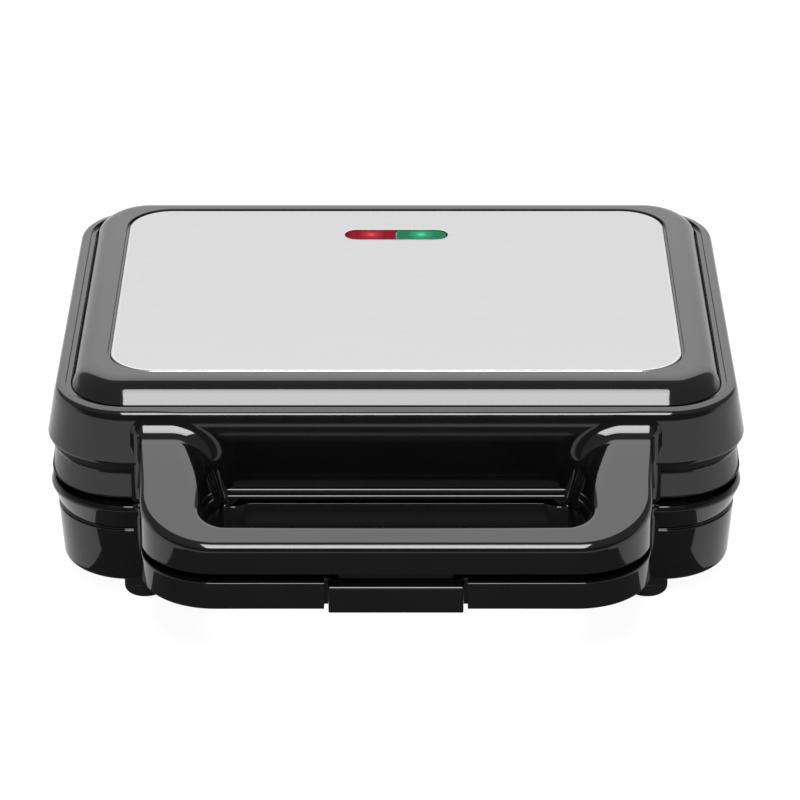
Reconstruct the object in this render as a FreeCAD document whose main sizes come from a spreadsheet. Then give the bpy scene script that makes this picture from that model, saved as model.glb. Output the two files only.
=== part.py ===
import FreeCAD, Part
import math
import os
import re

import Sketcher

# Sandwich maker: two hinged shells with heated plates, a handle in two halves and a flip latch.
# Millimetres. +X is to the right, +Y to the hinge at the back, +Z up. Every sub-part is drawn about
# the middle of the casing, on the table plane, and its placement then moves it back by shift_y, which
# puts the origin under the middle of the whole object.

# Driving dimensions
SIZES = {
    "body_width": 262.0,          # casing across its crest line
    "body_depth": 198.0,          # casing front to back across its crest line
    "body_corner": 31.0,          # corner of the crest line seen from above
    "wall": 2.5,                  # moulded walls
    "least_line": 0.01,           # straight line left between two round ends
    "foot_height": 9.0,           # table to the underside of the base
    "base_height": 33.5,          # underside of the base to its rim
    "base_floor": 2.5,            # floor of the base
    "lid_gap": 3.3,               # slot between the two shells when closed
    "lid_height": 34.8,           # lower edge of the lid to its shoulder
    "dome_height": 7.4,           # shoulder to the raised top
    "dome_round": 11.5,           # rounded edge of the raised top
    "dome_slope": 3.6,            # run of the slope below that edge
    "dome_step": 1.0,             # upright foot of the slope on the shoulder
    "shoulder_inset": 3.8,        # crest line to the edge of the shoulder
    "shoulder_width": 5.5,        # flat ledge round the raised top
    "shoulder_round": 2.6,
    "crest_rise": 16.3,           # lower edge of the lid to its crest line
    "crest_round": 2.0,
    "neck_rise": 9.3,             # lower edge of the lid to the top of its skirt
    "neck_round": 1.5,
    "skirt_inset": 3.2,           # crest line to the skirt
    "lip_round": 0.8,             # lower edge of the lid and rim of the base
    "deck_thick": 3.8,            # top of the lid
    "lid_side_inset": 6.0,        # crest line to the inside of the lid's side wall
    "lid_lining": 5.9,            # crest line to the inside of the skirt
    "rim_inset": 2.0,             # crest line to the rim of the base
    "tier_inset": 0.5,            # crest line to the swell of the base's upper band
    "tier_drop": 4.5,             # rim to the swell
    "tier_round": 2.5,
    "tier_height": 10.6,          # rim to the crease below the band
    "crease_inset": 3.9,
    "crease_depth": 0.9,          # how far the band is set in behind the lower wall
    "crease_round": 0.35,
    "base_lining": 6.2,           # crest line to the inside of the base's rim
    "floor_inset": 4.6,           # crest line to the foot of the base wall
    "floor_round": 3.0,
    "floor_lining": 7.4,          # crest line to the foot of the inside wall
    "ring_width": 20.0,           # how far the swept wall reaches in before the flat panel takes over
    "ring_lap": 2.0,              # lap of the flat panel and the swept wall
    "panel_inset": 23.5,          # crest line to the steel plate
    "panel_corner": 17.0,
    "panel_thick": 0.8,
    "panel_sink": 0.3,            # steel plate below the raised top
    "panel_play": 0.2,
    "pill_length": 40.0,          # the two lamp windows together
    "pill_width": 8.4,
    "pill_setback": 48.0,         # crest line at the back to the middle of the windows
    "pill_play": 0.2,
    "pill_border": 0.6,           # dark line round the windows in the steel plate
    "lens_split": 0.5,            # between the two windows
    "lens_flange": 1.5,
    "lens_flange_thick": 1.6,
    "lens_proud": 0.3,            # windows above the steel plate
    "bracket_drop": 7.6,          # underside of the deck to the lamp shelf
    "bracket_thick": 1.5,
    "bracket_overhang": 4.0,      # lamp shelf past the windows
    "lamp_radius": 2.2,
    "lamp_length": 14.0,
    "seat_play": 0.1,             # parts that lie on each other but are not glued
    "handle_width": 186.0,
    "handle_reach": 58.0,         # crest line to the front of the handle
    "handle_corner": 23.0,
    "handle_root_rise": 24.3,     # lower edge of the lid to the top of the handle at the casing
    "handle_front_rise": 12.6,    # the same at the front
    "handle_round": 3.7,
    "handle_overlap": 5.0,        # crest line to where the handle ends inside the wall
    "arm_width": 21.5,            # top of each arm
    "arm_flare": 6.5,             # extra width of each arm at its lower edge
    "bar_depth": 11.5,            # top of the cross bar
    "bar_flare": 4.5,             # extra depth of the cross bar at its lower edge
    "grip_corner": 9.0,           # corners of the finger opening
    "grip_inset": 0.6,            # crest line to the front wall behind the fingers
    "front_panel_margin": 3.0,    # flat front wall past the handle
    "bead_rise": 1.2,             # lower edge of the lid to the bead on its front wall
    "bead_height": 2.7,
    "bead_proud": 1.2,
    "bead_round": 0.9,
    "bead_margin": 1.2,           # end of the bead to the side of the finger opening
    "low_handle_height": 10.6,
    "low_handle_skin": 2.5,
    "low_handle_round": 1.0,
    "low_hollow_start": 29.0,     # middle of the handle to the hollows under the lower half
    "channel_height": 9.7,        # hollow in the upper handle
    "channel_end": 3.0,           # crest line to the end of the hollow
    "handle_cover_thick": 2.0,
    "cover_play": 0.2,
    "hinge_setback": 5.5,         # crest line to the hinge axis
    "hinge_radius": 5.0,
    "hinge_inset": 53.0,          # side of the casing to the middle of each hinge
    "hinge_lid_width": 16.0,
    "hinge_ear_width": 5.0,
    "hinge_side_play": 0.3,
    "hinge_pin_radius": 2.0,
    "pin_play": 0.05,
    "press_play": 0.01,
    "latch_width": 48.6,
    "latch_play": 1.5,            # notch in the lower handle beside the latch
    "latch_pivot_setback": 5.4,   # front of the handle to the latch pin
    "latch_pivot_rise": 0.7,      # lower edge of the lid to the latch pin
    "latch_pin_radius": 1.0,
    "latch_barrel_radius": 2.4,
    "latch_arm_width": 41.2,
    "latch_arm_front": 1.6,       # pin axis to the front of the latch arm
    "latch_arm_back": 0.8,
    "latch_block_drop": 1.6,      # rim of the base to the top of the finger block
    "latch_block_back": 0.5,      # pin axis to the back of the finger block
    "latch_tail": 1.2,            # finger block below the lower handle
    "latch_round": 0.8,
    "hook_length": 1.7,
    "hook_thick": 1.6,
    "hook_play": 0.4,             # hook to the catch ledge when the latch hangs free
    "hook_lift": 1.0,             # hook to the underside of the catch ledge
    "ledge_thick": 2.0,
    "ledge_side_play": 3.0,
    "notch_depth": 12.5,          # front of the handle to the back of the notch
    "pin_ear_width": 3.5,
    "pin_ear_play": 0.3,
    "pin_ear_radius": 2.0,        # half the width of the ears that hold the latch pin
    "pin_ear_top": 2.5,
    "plate_inset": 9.0,           # crest line to the edge of the cooking plates
    "plate_corner": 24.0,
    "plate_flange": 3.0,
    "plate_wall": 3.0,
    "plate_proud": 1.5,           # lower plate above the rim of the base
    "plate_gap": 0.4,             # between the two plates when closed
    "pocket_depth": 15.0,
    "pocket_margin": 21.0,        # crest line to the side of the outer pockets
    "pocket_web": 8.0,            # between the two pockets
    "pocket_corner": 12.0,
    "pocket_draft": 4.0,          # each pocket is this much narrower at its floor
    "ridge_height": 8.0,          # rib that cuts a sandwich in two
    "ridge_base": 5.0,
    "ridge_crest": 1.6,
    "ridge_end": 4.0,             # pocket corner to the end of the rib, which is sunk in the wall
    "screw_inset_x": 33.0,        # crest line to the plate screws
    "screw_inset_y": 29.0,
    "screw_radius": 1.6,
    "screw_head_radius": 3.0,
    "screw_head_height": 2.2,
    "screw_play": 0.15,
    "screw_seat": 6.0,            # solid end of each post under the screw head
    "screw_grip": 6.0,            # screw inside the plate's boss
    "thread_play": 0.02,
    "thread_spare": 0.5,          # hole past the end of a screw
    "post_radius": 4.5,
    "boss_radius": 4.0,
    "boss_height": 5.0,
    "post_gap": 1.0,              # posts to the cooking pockets
    "heater_radius": 3.3,
    "heater_width": 170.0,
    "heater_depth": 96.0,
    "heater_corner": 20.0,
    "heater_mouth": 32.0,         # opening between the ends of the heater
    "heater_tail": 12.0,
    "heater_bend": 8.0,
    "reflector_gap": 1.5,
    "reflector_thick": 0.8,
    "reflector_lip": 5.0,
    "reflector_margin": 19.0,     # crest line to the side of the reflectors
    "reflector_corner": 18.0,
    "reflector_post_x": 60.0,
    "reflector_post_y": 34.0,
    "reflector_post_radius": 3.0,
    "thermostat_x": 30.0,
    "thermostat_radius": 8.0,
    "thermostat_height": 6.5,
    "thermostat_tab": 4.0,
    "thermostat_tab_thick": 1.0,
    "fuse_x": 30.0,
    "fuse_radius": 2.0,
    "fuse_length": 24.0,
    "terminal_width": 30.0,
    "terminal_depth": 13.0,
    "terminal_height": 10.0,
    "terminal_setback": 21.0,     # crest line at the back to the middle of the terminal block
    "terminal_screw_radius": 1.8,
    "terminal_pitch": 10.0,
    "terminal_screw_depth": 3.0,
    "gland_rise": 11.5,           # underside of the base to the middle of the cord gland
    "gland_bore_radius": 3.6,
    "gland_neck_radius": 5.5,
    "gland_flange_radius": 7.5,
    "gland_flange_thick": 2.0,
    "lead_radius": 2.2,
    "lead_play": 0.3,
    "lead_drop": 6.5,             # rim of the base to the lead's way out
    "lead_bend": 7.0,             # bend of the lead inside each shell
    "lead_inset": 0.6,            # crest line to the start of the lead's outer bend
    "lead_flat": 0.5,             # straight stretch in the middle of that bend
    "lead_rise": 3.0,             # straight end of the lead in the lid
    "foot_radius": 8.0,
    "foot_inset_x": 36.0,
    "foot_inset_y": 16.0,
    "foot_round": 2.0,
    "foot_stem_radius": 3.0,
    "cover_screw_radius": 1.0,
    "cover_screw_head_radius": 2.2,
    "cover_screw_head_height": 1.1,
    "cover_screw_grip": 5.0,
    "cover_screw_play": 0.12,
    "cover_boss_radius": 2.8,
    "cover_screw_arm": 14.0,      # crest line to the screws in the handle arms
    "cover_screw_bar": 60.0,      # middle of the handle to the screws in the cross bar
}

# Heights and places worked out from the driving dimensions
FORMULAS = {
    "half_w": "body_width / 2",
    "half_d": "body_depth / 2",
    "rim_z": "foot_height + base_height",
    "lid_z": "rim_z + lid_gap",
    "crest_z": "lid_z + crest_rise",
    "neck_z": "lid_z + neck_rise",
    "shoulder_z": "lid_z + lid_height",
    "top_z": "shoulder_z + dome_height",
    "deck_z": "top_z - deck_thick",
    "recess_z": "top_z - panel_sink - panel_thick",
    "floor_z": "foot_height + base_floor",
    "crease_z": "rim_z - tier_height",
    "dome_inset": "shoulder_inset + shoulder_width",
    "dome_lining": "dome_inset + dome_slope + wall",
    "front_y": "-half_d - handle_reach",
    "hinge_spread": "half_w - hinge_inset",
    "hinge_y": "half_d + hinge_setback",
    "hinge_z": "rim_z + lid_gap / 2",
    "shift_y": "(handle_reach - hinge_setback - hinge_radius) / 2",
    "handle_half": "handle_width / 2",
    "grip_top": "handle_half - arm_width",
    "grip_low": "grip_top - arm_flare",
    "grip_top_y": "front_y + bar_depth",
    "grip_low_y": "grip_top_y + bar_flare",
    "grip_wall_y": "grip_inset - half_d",
    "low_handle_z": "rim_z - low_handle_height",
    "pivot_y": "front_y + latch_pivot_setback",
    "pivot_z": "lid_z + latch_pivot_rise",
    "notch_half": "latch_width / 2 + latch_play",
    "notch_y": "front_y + notch_depth",
    "block_top_z": "rim_z - latch_block_drop",
    "block_low_z": "low_handle_z - latch_tail",
    "block_back_y": "pivot_y + latch_block_back",
    "hook_y": "block_back_y + hook_length",
    "ledge_y": "hook_y + hook_play",
    "ledge_z": "block_low_z + hook_thick + hook_lift",
    "pin_ear_x": "latch_arm_width / 2 + pin_ear_play",
    "low_plate_z": "rim_z + plate_proud",
    "up_plate_z": "low_plate_z + plate_gap",
    "screw_x": "half_w - screw_inset_x",
    "screw_y": "half_d - screw_inset_y",
    "block_y": "screw_y - post_radius - post_gap",
    "pocket_y": "block_y - plate_wall",
    "pocket_x": "half_w - pocket_margin",
    "pocket_in": "pocket_web / 2",
    "plate_depth": "pocket_depth + plate_wall",
    "low_back_z": "low_plate_z - plate_depth",
    "up_back_z": "up_plate_z + plate_depth",
    "low_boss_z": "low_plate_z - plate_flange - boss_height",
    "up_boss_z": "up_plate_z + plate_flange + boss_height",
    "low_heater_z": "low_back_z - heater_radius - seat_play",
    "up_heater_z": "up_back_z + heater_radius + seat_play",
    "low_tray_z": "low_heater_z - heater_radius - reflector_gap - reflector_thick",
    "up_tray_z": "up_heater_z + heater_radius + reflector_gap + reflector_thick",
    "tray_x": "half_w - reflector_margin",
    "tray_y": "screw_y - post_radius - post_gap - seat_play",
    "pill_y": "half_d - pill_setback",
    "pocket_mid": "(pocket_x + pocket_in) / 2",
    "pocket_half": "(pocket_x - pocket_in) / 2",
    "diagonal": "sqrt(pocket_half ^ 2 + pocket_y ^ 2)",
    "ridge_reach": "diagonal - ridge_end",
    "shelf_z": "deck_z - bracket_drop",
    "terminal_y": "half_d - terminal_setback",
    "gland_z": "foot_height + gland_rise",
    "lead_z": "rim_z - lead_drop",
    "lead_lid_z": "lid_z + lead_drop",
    "lead_turn": "(lead_lid_z - lead_z - lead_flat) / 2",
    "lead_back_y": "half_d - lead_inset + lead_turn",
    "foot_x": "half_w - foot_inset_x",
    "foot_y": "half_d - foot_inset_y",
}

SHEET = "Sizes"
NAMES = re.compile(r"[a-z][a-z_]*[a-z]")

doc = FreeCAD.newDocument("sandwich_maker")
sheet = doc.addObject("Spreadsheet::Sheet", SHEET)
for row, (size_name, size) in enumerate(SIZES.items(), start=1):
    sheet.set(f"A{row}", size_name)
    sheet.set(f"B{row}", str(size))
    sheet.setAlias(f"B{row}", size_name)
doc.recompute()


def bind(formula):
    """The sheet expression of a formula, with every named place written out in driving dimensions."""
    def written_out(match):
        word = match.group(0)
        if word in FORMULAS:
            return "(" + bind(FORMULAS[word]) + ")"
        return f"{SHEET}.{word}" if word in SIZES else word
    return NAMES.sub(written_out, str(formula))


def value(formula):
    """The present value of a formula."""
    found = sheet.evalExpression(bind(formula))
    return float(getattr(found, "Value", found))


def negative(formula):
    return f"-({formula})"


def new_body(label, x="0", y="0"):
    """An empty body at a spot of the casing, carried back to the middle of the object."""
    body = doc.addObject("PartDesign::Body", label)
    body.Label = label
    body.AllowCompound = True
    body.setExpression(".Placement.Base.x", bind(x))
    body.setExpression(".Placement.Base.y", bind(f"shift_y + {y}"))
    return body


def new_sketch(body, name, role, level):
    """A sketch on one of the body's own origin planes, moved along the plane's normal by level."""
    sketch = body.newObject("Sketcher::SketchObject", f"{body.Name}_{name}")
    plane = next(item for item in body.Origin.OriginFeatures if item.Role == role)
    sketch.AttachmentSupport = [(plane, "")]
    sketch.MapMode = "FlatFace"
    if level is not None:
        sketch.setExpression(".AttachmentOffset.Base.z", bind(level))
    return sketch


def constrain(sketch, kind, places, number, formula):
    """A dimension of a sketch that follows a formula."""
    index = sketch.addConstraint(Sketcher.Constraint(kind, *places, number))
    sketch.setExpression(f"Constraints[{index}]", bind(formula))


def pin_point(sketch, place, corner, point):
    """Holds a point of a sketch at the two formulas of a corner."""
    constrain(sketch, "DistanceX", (-1, 1, *place), point.x, corner[0])
    constrain(sketch, "DistanceY", (-1, 1, *place), point.y, corner[1])


def add_loop(sketch, corners, closed=True):
    """An outline through (x, y) or (x, y, radius) corners, rounded by tangent arcs."""
    points = [FreeCAD.Vector(value(corner[0]), value(corner[1]), 0) for corner in corners]
    radii = [value(corner[2]) if len(corner) > 2 else 0.0 for corner in corners]
    count = len(points)
    ends, centres = [], []
    for index, point in enumerate(points):
        if not radii[index]:
            ends.append((point, point))
            centres.append(point)
            continue
        towards = FreeCAD.Vector(points[index - 1] - point).normalize()
        onwards = FreeCAD.Vector(points[(index + 1) % count] - point).normalize()
        half_turn = math.acos(towards.dot(onwards)) / 2
        reach = radii[index] / math.tan(half_turn)
        ends.append((point + towards * reach, point + onwards * reach))
        bisector = FreeCAD.Vector(towards + onwards).normalize()
        centres.append(point + bisector * (radii[index] / math.sin(half_turn)))
    lines = [sketch.addGeometry(Part.LineSegment(ends[index][1], ends[(index + 1) % count][0]))
             for index in range(count if closed else count - 1)]
    if not closed:
        pin_point(sketch, (lines[0], 1), corners[0], points[0])
        pin_point(sketch, (lines[-1], 2), corners[-1], points[-1])
    for index, corner in enumerate(corners):
        if not closed and index in (0, count - 1):
            continue
        before, after = lines[index - 1], lines[index]
        if not radii[index]:
            sketch.addConstraint(Sketcher.Constraint("Coincident", before, 2, after, 1))
            pin_point(sketch, (after, 1), corner, points[index])
            continue
        spokes = [end - centres[index] for end in ends[index]]
        first, last = (1, 2) if spokes[0].cross(spokes[1]).z > 0 else (2, 1)
        angles = [math.atan2(spoke.y, spoke.x) for spoke in (spokes[first - 1], spokes[last - 1])]
        circle = Part.Circle(centres[index], FreeCAD.Vector(0, 0, 1), radii[index])
        arc = sketch.addGeometry(Part.ArcOfCircle(circle, *angles))
        sketch.addConstraint(Sketcher.Constraint("Tangent", before, 2, arc, first))
        sketch.addConstraint(Sketcher.Constraint("Tangent", after, 1, arc, last))
        constrain(sketch, "Radius", (arc,), radii[index], corner[2])
        apex = sketch.addGeometry(Part.Point(points[index]), True)
        sketch.addConstraint(Sketcher.Constraint("PointOnObject", apex, 1, before))
        sketch.addConstraint(Sketcher.Constraint("PointOnObject", apex, 1, after))
        pin_point(sketch, (apex, 1), corner, points[index])


def loops(body, name, role, outlines, level=None):
    """A sketch of one or more closed outlines."""
    sketch = new_sketch(body, name, role, level)
    for outline in outlines:
        add_loop(sketch, outline)
    return sketch


def track(body, name, role, corners, level=None):
    """A sketch of one open path."""
    sketch = new_sketch(body, name, role, level)
    add_loop(sketch, corners, closed=False)
    return sketch


def circles(body, name, role, spots, radius, level=None):
    """A sketch of equal circles at (x, y) spots."""
    sketch = new_sketch(body, name, role, level)
    for spot in spots:
        centre = FreeCAD.Vector(value(spot[0]), value(spot[1]), 0)
        circle = sketch.addGeometry(Part.Circle(centre, FreeCAD.Vector(0, 0, 1), value(radius)))
        pin_point(sketch, (circle, 3), spot, centre)
        constrain(sketch, "Radius", (circle,), value(radius), radius)
    return sketch


def rectangle(half_x, low_y, high_y, radius=None):
    """Corners of a rectangle that is centred in x, with all corners alike."""
    low_x = negative(half_x)
    spots = [(half_x, high_y), (low_x, high_y), (low_x, low_y), (half_x, low_y)]
    return [spot + ((radius,) if radius else ()) for spot in spots]


def box_corners(low_x, high_x, low_y, high_y, radius=None):
    """Corners of a rectangle between two formulas each way."""
    spots = [(high_x, high_y), (low_x, high_y), (low_x, low_y), (high_x, low_y)]
    return [spot + ((radius,) if radius else ()) for spot in spots]


def mirrored(corners):
    """The same outline on the other side of the middle, in the same turning sense."""
    return [(negative(corner[0]),) + tuple(corner[1:]) for corner in reversed(corners)]


def four(x, y):
    """The four spots at plus and minus x and y."""
    return [(x, y), (negative(x), y), (negative(x), negative(y)), (x, negative(y))]


def extrude(body, kind, name, sketch, length, backwards=False, both_sides=False):
    feature = body.newObject(f"PartDesign::{kind}", f"{body.Name}_{name}")
    feature.Profile = sketch
    feature.setExpression("Length", bind(length))
    feature.Reversed = backwards
    if both_sides:
        feature.SideType = "Symmetric"
    return feature


def pad(body, name, sketch, length, **options):
    """Material from the sketch along its normal, or against it when backwards."""
    return extrude(body, "Pad", name, sketch, length, **options)


def pocket(body, name, sketch, length, **options):
    """A cut from the sketch against its normal, or along it when backwards. It has to remove material."""
    doc.recompute()
    before = body.Shape.Volume
    feature = extrude(body, "Pocket", name, sketch, length, **options)
    doc.recompute()
    if not body.Shape.Volume < before:
        raise RuntimeError(f"{feature.Name} removes nothing")
    return feature


def sweep(body, name, profile, path):
    feature = body.newObject("PartDesign::AdditivePipe", f"{body.Name}_{name}")
    feature.Profile = profile
    feature.Spine = (path, [])
    return feature


def loft(body, kind, name, first, last):
    feature = body.newObject(f"PartDesign::{kind}", f"{body.Name}_{name}")
    feature.Profile = first
    feature.Sections = [last]
    feature.Ruled = True
    return feature


def revolve(body, name, profile):
    """The profile turned once about the sketch's own vertical axis."""
    feature = body.newObject("PartDesign::Revolution", f"{body.Name}_{name}")
    feature.Profile = profile
    feature.ReferenceAxis = (profile, ["V_Axis"])
    feature.Angle = 360
    return feature


def fillet(body, name, chosen, radius):
    """Rounds the edges of the body for which chosen(edge) is true."""
    doc.recompute()
    base = body.Tip
    edges = [f"Edge{number}" for number, edge in enumerate(base.Shape.Edges, 1) if chosen(edge)]
    feature = body.newObject("PartDesign::Fillet", f"{body.Name}_{name}")
    feature.Base = (base, edges)
    feature.setExpression("Radius", bind(radius))
    doc.recompute()
    return feature


def crest_path(body):
    """The crest line of the casing seen from above, which the walls are swept along."""
    return loops(body, "path", "XY_Plane", [rectangle("half_w", negative("half_d"), "half_d", "body_corner")])


def inset(formula):
    """The place on a wall section that lies this far in from the crest line at the back."""
    return f"half_d - ({formula})"


def flat_panel(body, name, level, thickness):
    """The flat panel that closes a swept wall, lapping it by ring_lap."""
    edge = "(ring_width - ring_lap)"
    outline = rectangle(f"half_w - {edge}", f"{edge} - half_d", f"half_d - {edge}", f"body_corner - {edge}")
    return pad(body, name, loops(body, f"{name}_plan", "XY_Plane", [outline], level), thickness)


def handle_plan(radius_cut="0"):
    """The outer outline of the handle, reaching back into the front wall."""
    side = f"handle_half - {radius_cut}"
    front = f"front_y + {radius_cut}"
    corner = f"handle_corner - {radius_cut}"
    back = "handle_overlap - half_d"
    return [(side, back), (negative(side), back), (negative(side), front, corner), (side, front, corner)]


def finger_opening(half, front, level, body, name):
    """The opening behind the cross bar at one height, cut back through the end of the arms."""
    back = "handle_overlap + wall - half_d"
    outline = [(half, back), (negative(half), back),
               (negative(half), front, "grip_corner"), (half, front, "grip_corner")]
    return loops(body, name, "XY_Plane", [outline], level)


def horseshoe(outer, inner_half, inner_front, end):
    """A band round the handle: outer is its distance inside the handle's outline."""
    side = f"handle_half - {outer}"
    front = f"front_y + {outer}"
    corner = f"handle_corner - {outer}"
    return [(side, end), (inner_half, end), (inner_half, inner_front), (negative(inner_half), inner_front),
            (negative(inner_half), end), (negative(side), end),
            (negative(side), front, corner), (side, front, corner)]


def lid_cover():
    """Upper shell with the upper half of the handle and the two hinge lugs."""
    body = new_body("lid_cover")
    plan = loops(body, "handle_plan", "XY_Plane", [handle_plan()], "lid_z")
    pad(body, "handle", plan, "handle_root_rise")
    root_z, front_z = "lid_z + handle_root_rise", "lid_z + handle_front_rise"
    clear = "handle_root_rise"
    fall = f"(handle_root_rise - handle_front_rise) * {clear} / handle_reach"
    slope = [("handle_overlap - half_d", root_z), (f"front_y - {clear}", f"{front_z} - {fall}"),
             (f"front_y - {clear}", f"{root_z} + {clear}"),
             ("handle_overlap - half_d", f"{root_z} + {clear}")]
    side = loops(body, "handle_slope", "YZ_Plane", [slope])
    pocket(body, "handle_top", side, "handle_width + handle_reach", both_sides=True)
    low = finger_opening("grip_low", "grip_low_y", "lid_z", body, "grip_low")
    high = finger_opening("grip_top", "grip_top_y", root_z, body, "grip_top")
    loft(body, "SubtractiveLoft", "grip", low, high)

    fillet(body, "handle_edges", sloping_top_edges(body), "handle_round")

    section = [(inset("skirt_inset"), "lid_z", "lip_round"),
               (inset("skirt_inset"), "neck_z", "neck_round"),
               (inset("0"), "crest_z", "crest_round"),
               (inset("shoulder_inset"), "shoulder_z", "shoulder_round"),
               (inset("dome_inset"), "shoulder_z"),
               (inset("dome_inset"), "shoulder_z + dome_step"),
               (inset("dome_inset + dome_slope"), "top_z", "dome_round"),
               (inset("ring_width"), "top_z"),
               (inset("ring_width"), "deck_z"),
               (inset("dome_lining"), "deck_z"),
               (inset("dome_lining"), "shoulder_z - wall"),
               (inset("lid_side_inset"), "shoulder_z - wall"),
               (inset("lid_lining"), "lid_z")]
    sweep(body, "wall", loops(body, "section", "YZ_Plane", [section]), crest_path(body))
    flat_panel(body, "deck", "deck_z", "deck_thick")

    front_half = "handle_half + front_panel_margin"
    front = rectangle(front_half, "grip_wall_y", "handle_overlap - half_d")
    pad(body, "front_wall", loops(body, "front_plan", "XY_Plane", [front], "lid_z"), "crest_rise")

    bead_low = "lid_z + bead_rise"
    bead = rectangle("grip_low - bead_margin", bead_low, f"{bead_low} + bead_height",
                     "bead_height / 2 - least_line")
    pad(body, "bead", loops(body, "bead_plan", "XZ_Plane", [bead], negative("grip_wall_y")), "bead_proud")
    bead_y = value("grip_wall_y - bead_proud")
    fillet(body, "bead_edges", lambda edge: abs(edge.CenterOfMass.y - bead_y) < 1e-4
           and abs(edge.CenterOfMass.z - value(bead_low)) < value("bead_height") + 1e-3
           and abs(edge.CenterOfMass.x) < value("grip_low"), "bead_round")

    for spot, sign in (("right", ""), ("left", "-")):
        start = f"{sign}hinge_spread - hinge_lid_width / 2"
        web = [(inset("(skirt_inset + lid_lining) / 2"), "lid_z + lip_round"),
               (inset("(skirt_inset + lid_lining) / 2"), "neck_z"),
               ("hinge_y", "hinge_z + hinge_radius"), ("hinge_y", "hinge_z")]
        lug = loops(body, f"lug_section_{spot}", "YZ_Plane", [web], start)
        pad(body, f"lug_{spot}", lug, "hinge_lid_width")
        knuckle = circles(body, f"knuckle_circle_{spot}", "YZ_Plane", [("hinge_y", "hinge_z")],
                          "hinge_radius", start)
        pad(body, f"knuckle_{spot}", knuckle, "hinge_lid_width")
    bore = circles(body, "bore_circle", "YZ_Plane", [("hinge_y", "hinge_z")], "hinge_pin_radius + pin_play")
    pocket(body, "bore", bore, "body_width", both_sides=True)

    posts = circles(body, "post_circles", "XY_Plane", four("screw_x", "screw_y"), "post_radius", "up_boss_z")
    pad(body, "posts", posts, "deck_z - up_boss_z + deck_thick / 4")
    stands = circles(body, "stand_circles", "XY_Plane", four("reflector_post_x", "reflector_post_y"),
                     "reflector_post_radius", "up_tray_z")
    pad(body, "stands", stands, "deck_z - up_tray_z + deck_thick / 4")

    recess = rectangle("half_w - panel_inset + panel_play", "panel_inset - panel_play - half_d",
                       "half_d - panel_inset + panel_play", "panel_corner + panel_play")
    pocket(body, "panel_recess", loops(body, "recess_plan", "XY_Plane", [recess], "recess_z"),
           "deck_thick", backwards=True)
    window = loops(body, "window_plan", "XY_Plane", [pill("pill_play")], "deck_z")
    pocket(body, "window", window, "deck_thick", backwards=True)
    heads = circles(body, "head_circles", "XY_Plane", four("screw_x", "screw_y"),
                    "screw_head_radius + screw_play", "up_boss_z + screw_seat")
    pocket(body, "head_wells", heads, "top_z - up_boss_z", backwards=True)
    shanks = circles(body, "shank_circles", "XY_Plane", four("screw_x", "screw_y"),
                     "screw_radius + screw_play", "up_boss_z")
    pocket(body, "shank_holes", shanks, "screw_seat", backwards=True)

    cover_bed = horseshoe("wall", "grip_low + wall", "grip_low_y - wall", negative("half_d + channel_end"))
    pocket(body, "cover_bed", loops(body, "bed_plan", "XY_Plane", [cover_bed], "lid_z"),
           "handle_cover_thick", backwards=True)
    hollow = horseshoe("wall", "grip_top + wall", "grip_top_y - wall", negative("half_d + channel_end"))
    pocket(body, "hollow", loops(body, "hollow_plan", "XY_Plane", [hollow], "lid_z"),
           "channel_height", backwards=True)
    bosses = circles(body, "cover_bosses", "XY_Plane", cover_screw_spots(), "cover_boss_radius",
                     "lid_z + handle_cover_thick")
    pad(body, "bosses", bosses, "channel_height - handle_cover_thick + wall / 4")
    pilots = circles(body, "pilot_circles", "XY_Plane", cover_screw_spots(),
                     "cover_screw_radius + thread_play", "lid_z + handle_cover_thick")
    pocket(body, "pilots", pilots, "cover_screw_grip", backwards=True)

    lead = circles(body, "lead_circle", "XZ_Plane", [("0", "lead_lid_z")], "lead_radius + lead_play",
                   negative("half_d - ring_width"))
    pocket(body, "lead_hole", lead, "ring_width")
    return body


def sloping_top_edges(body):
    """Picks the edges round the sloping top of the handle, apart from its ends inside the front wall."""
    doc.recompute()
    slopes = [face for face in body.Tip.Shape.Faces if 0.5 < face.normalAt(0, 0).z < 0.999]
    rims = [edge for face in slopes for edge in face.Edges]
    end_y = value("handle_overlap - half_d")
    return lambda edge: (edge.CenterOfMass.y < end_y - value("handle_round")
                         and any(edge.isSame(rim) for rim in rims))


def pill(margin):
    """The outline of the two lamp windows together, widened by margin."""
    half, side = f"pill_length / 2 + {margin}", f"pill_width / 2 + {margin}"
    return rectangle(half, f"pill_y - ({side})", f"pill_y + ({side})", f"{side} - least_line")


def cover_screw_spots():
    """Screws of the handle cover: one in each arm, one at each end of the cross bar."""
    arm_x = "(handle_half + grip_top) / 2"
    arm_y = negative("half_d + cover_screw_arm")
    bar_y = "front_y + bar_depth / 2"
    return [(arm_x, arm_y), (negative(arm_x), arm_y),
            ("cover_screw_bar", bar_y), (negative("cover_screw_bar"), bar_y)]


def steel_panel():
    """Brushed plate in the recess of the lid, with a window for the lamps."""
    body = new_body("steel_panel")
    plan = rectangle("half_w - panel_inset", "panel_inset - half_d", "half_d - panel_inset", "panel_corner")
    pad(body, "sheet", loops(body, "plan", "XY_Plane", [plan], "recess_z"), "panel_thick")
    window = loops(body, "window_plan", "XY_Plane", [pill("pill_border")], "recess_z")
    pocket(body, "window", window, "panel_thick", backwards=True)
    return body


def lens_outline(sign, margin):
    """Half of the lamp windows: sign is "" on the right and "-" on the left."""
    side, end = f"pill_width / 2 + {margin}", f"pill_length / 2 + {margin}"
    bend = f"{side} - least_line"
    right = [(end, f"pill_y + ({side})", bend), ("lens_split / 2", f"pill_y + ({side})"),
             ("lens_split / 2", f"pill_y - ({side})"), (end, f"pill_y - ({side})", bend)]
    return right if sign == "" else mirrored(right)


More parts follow.
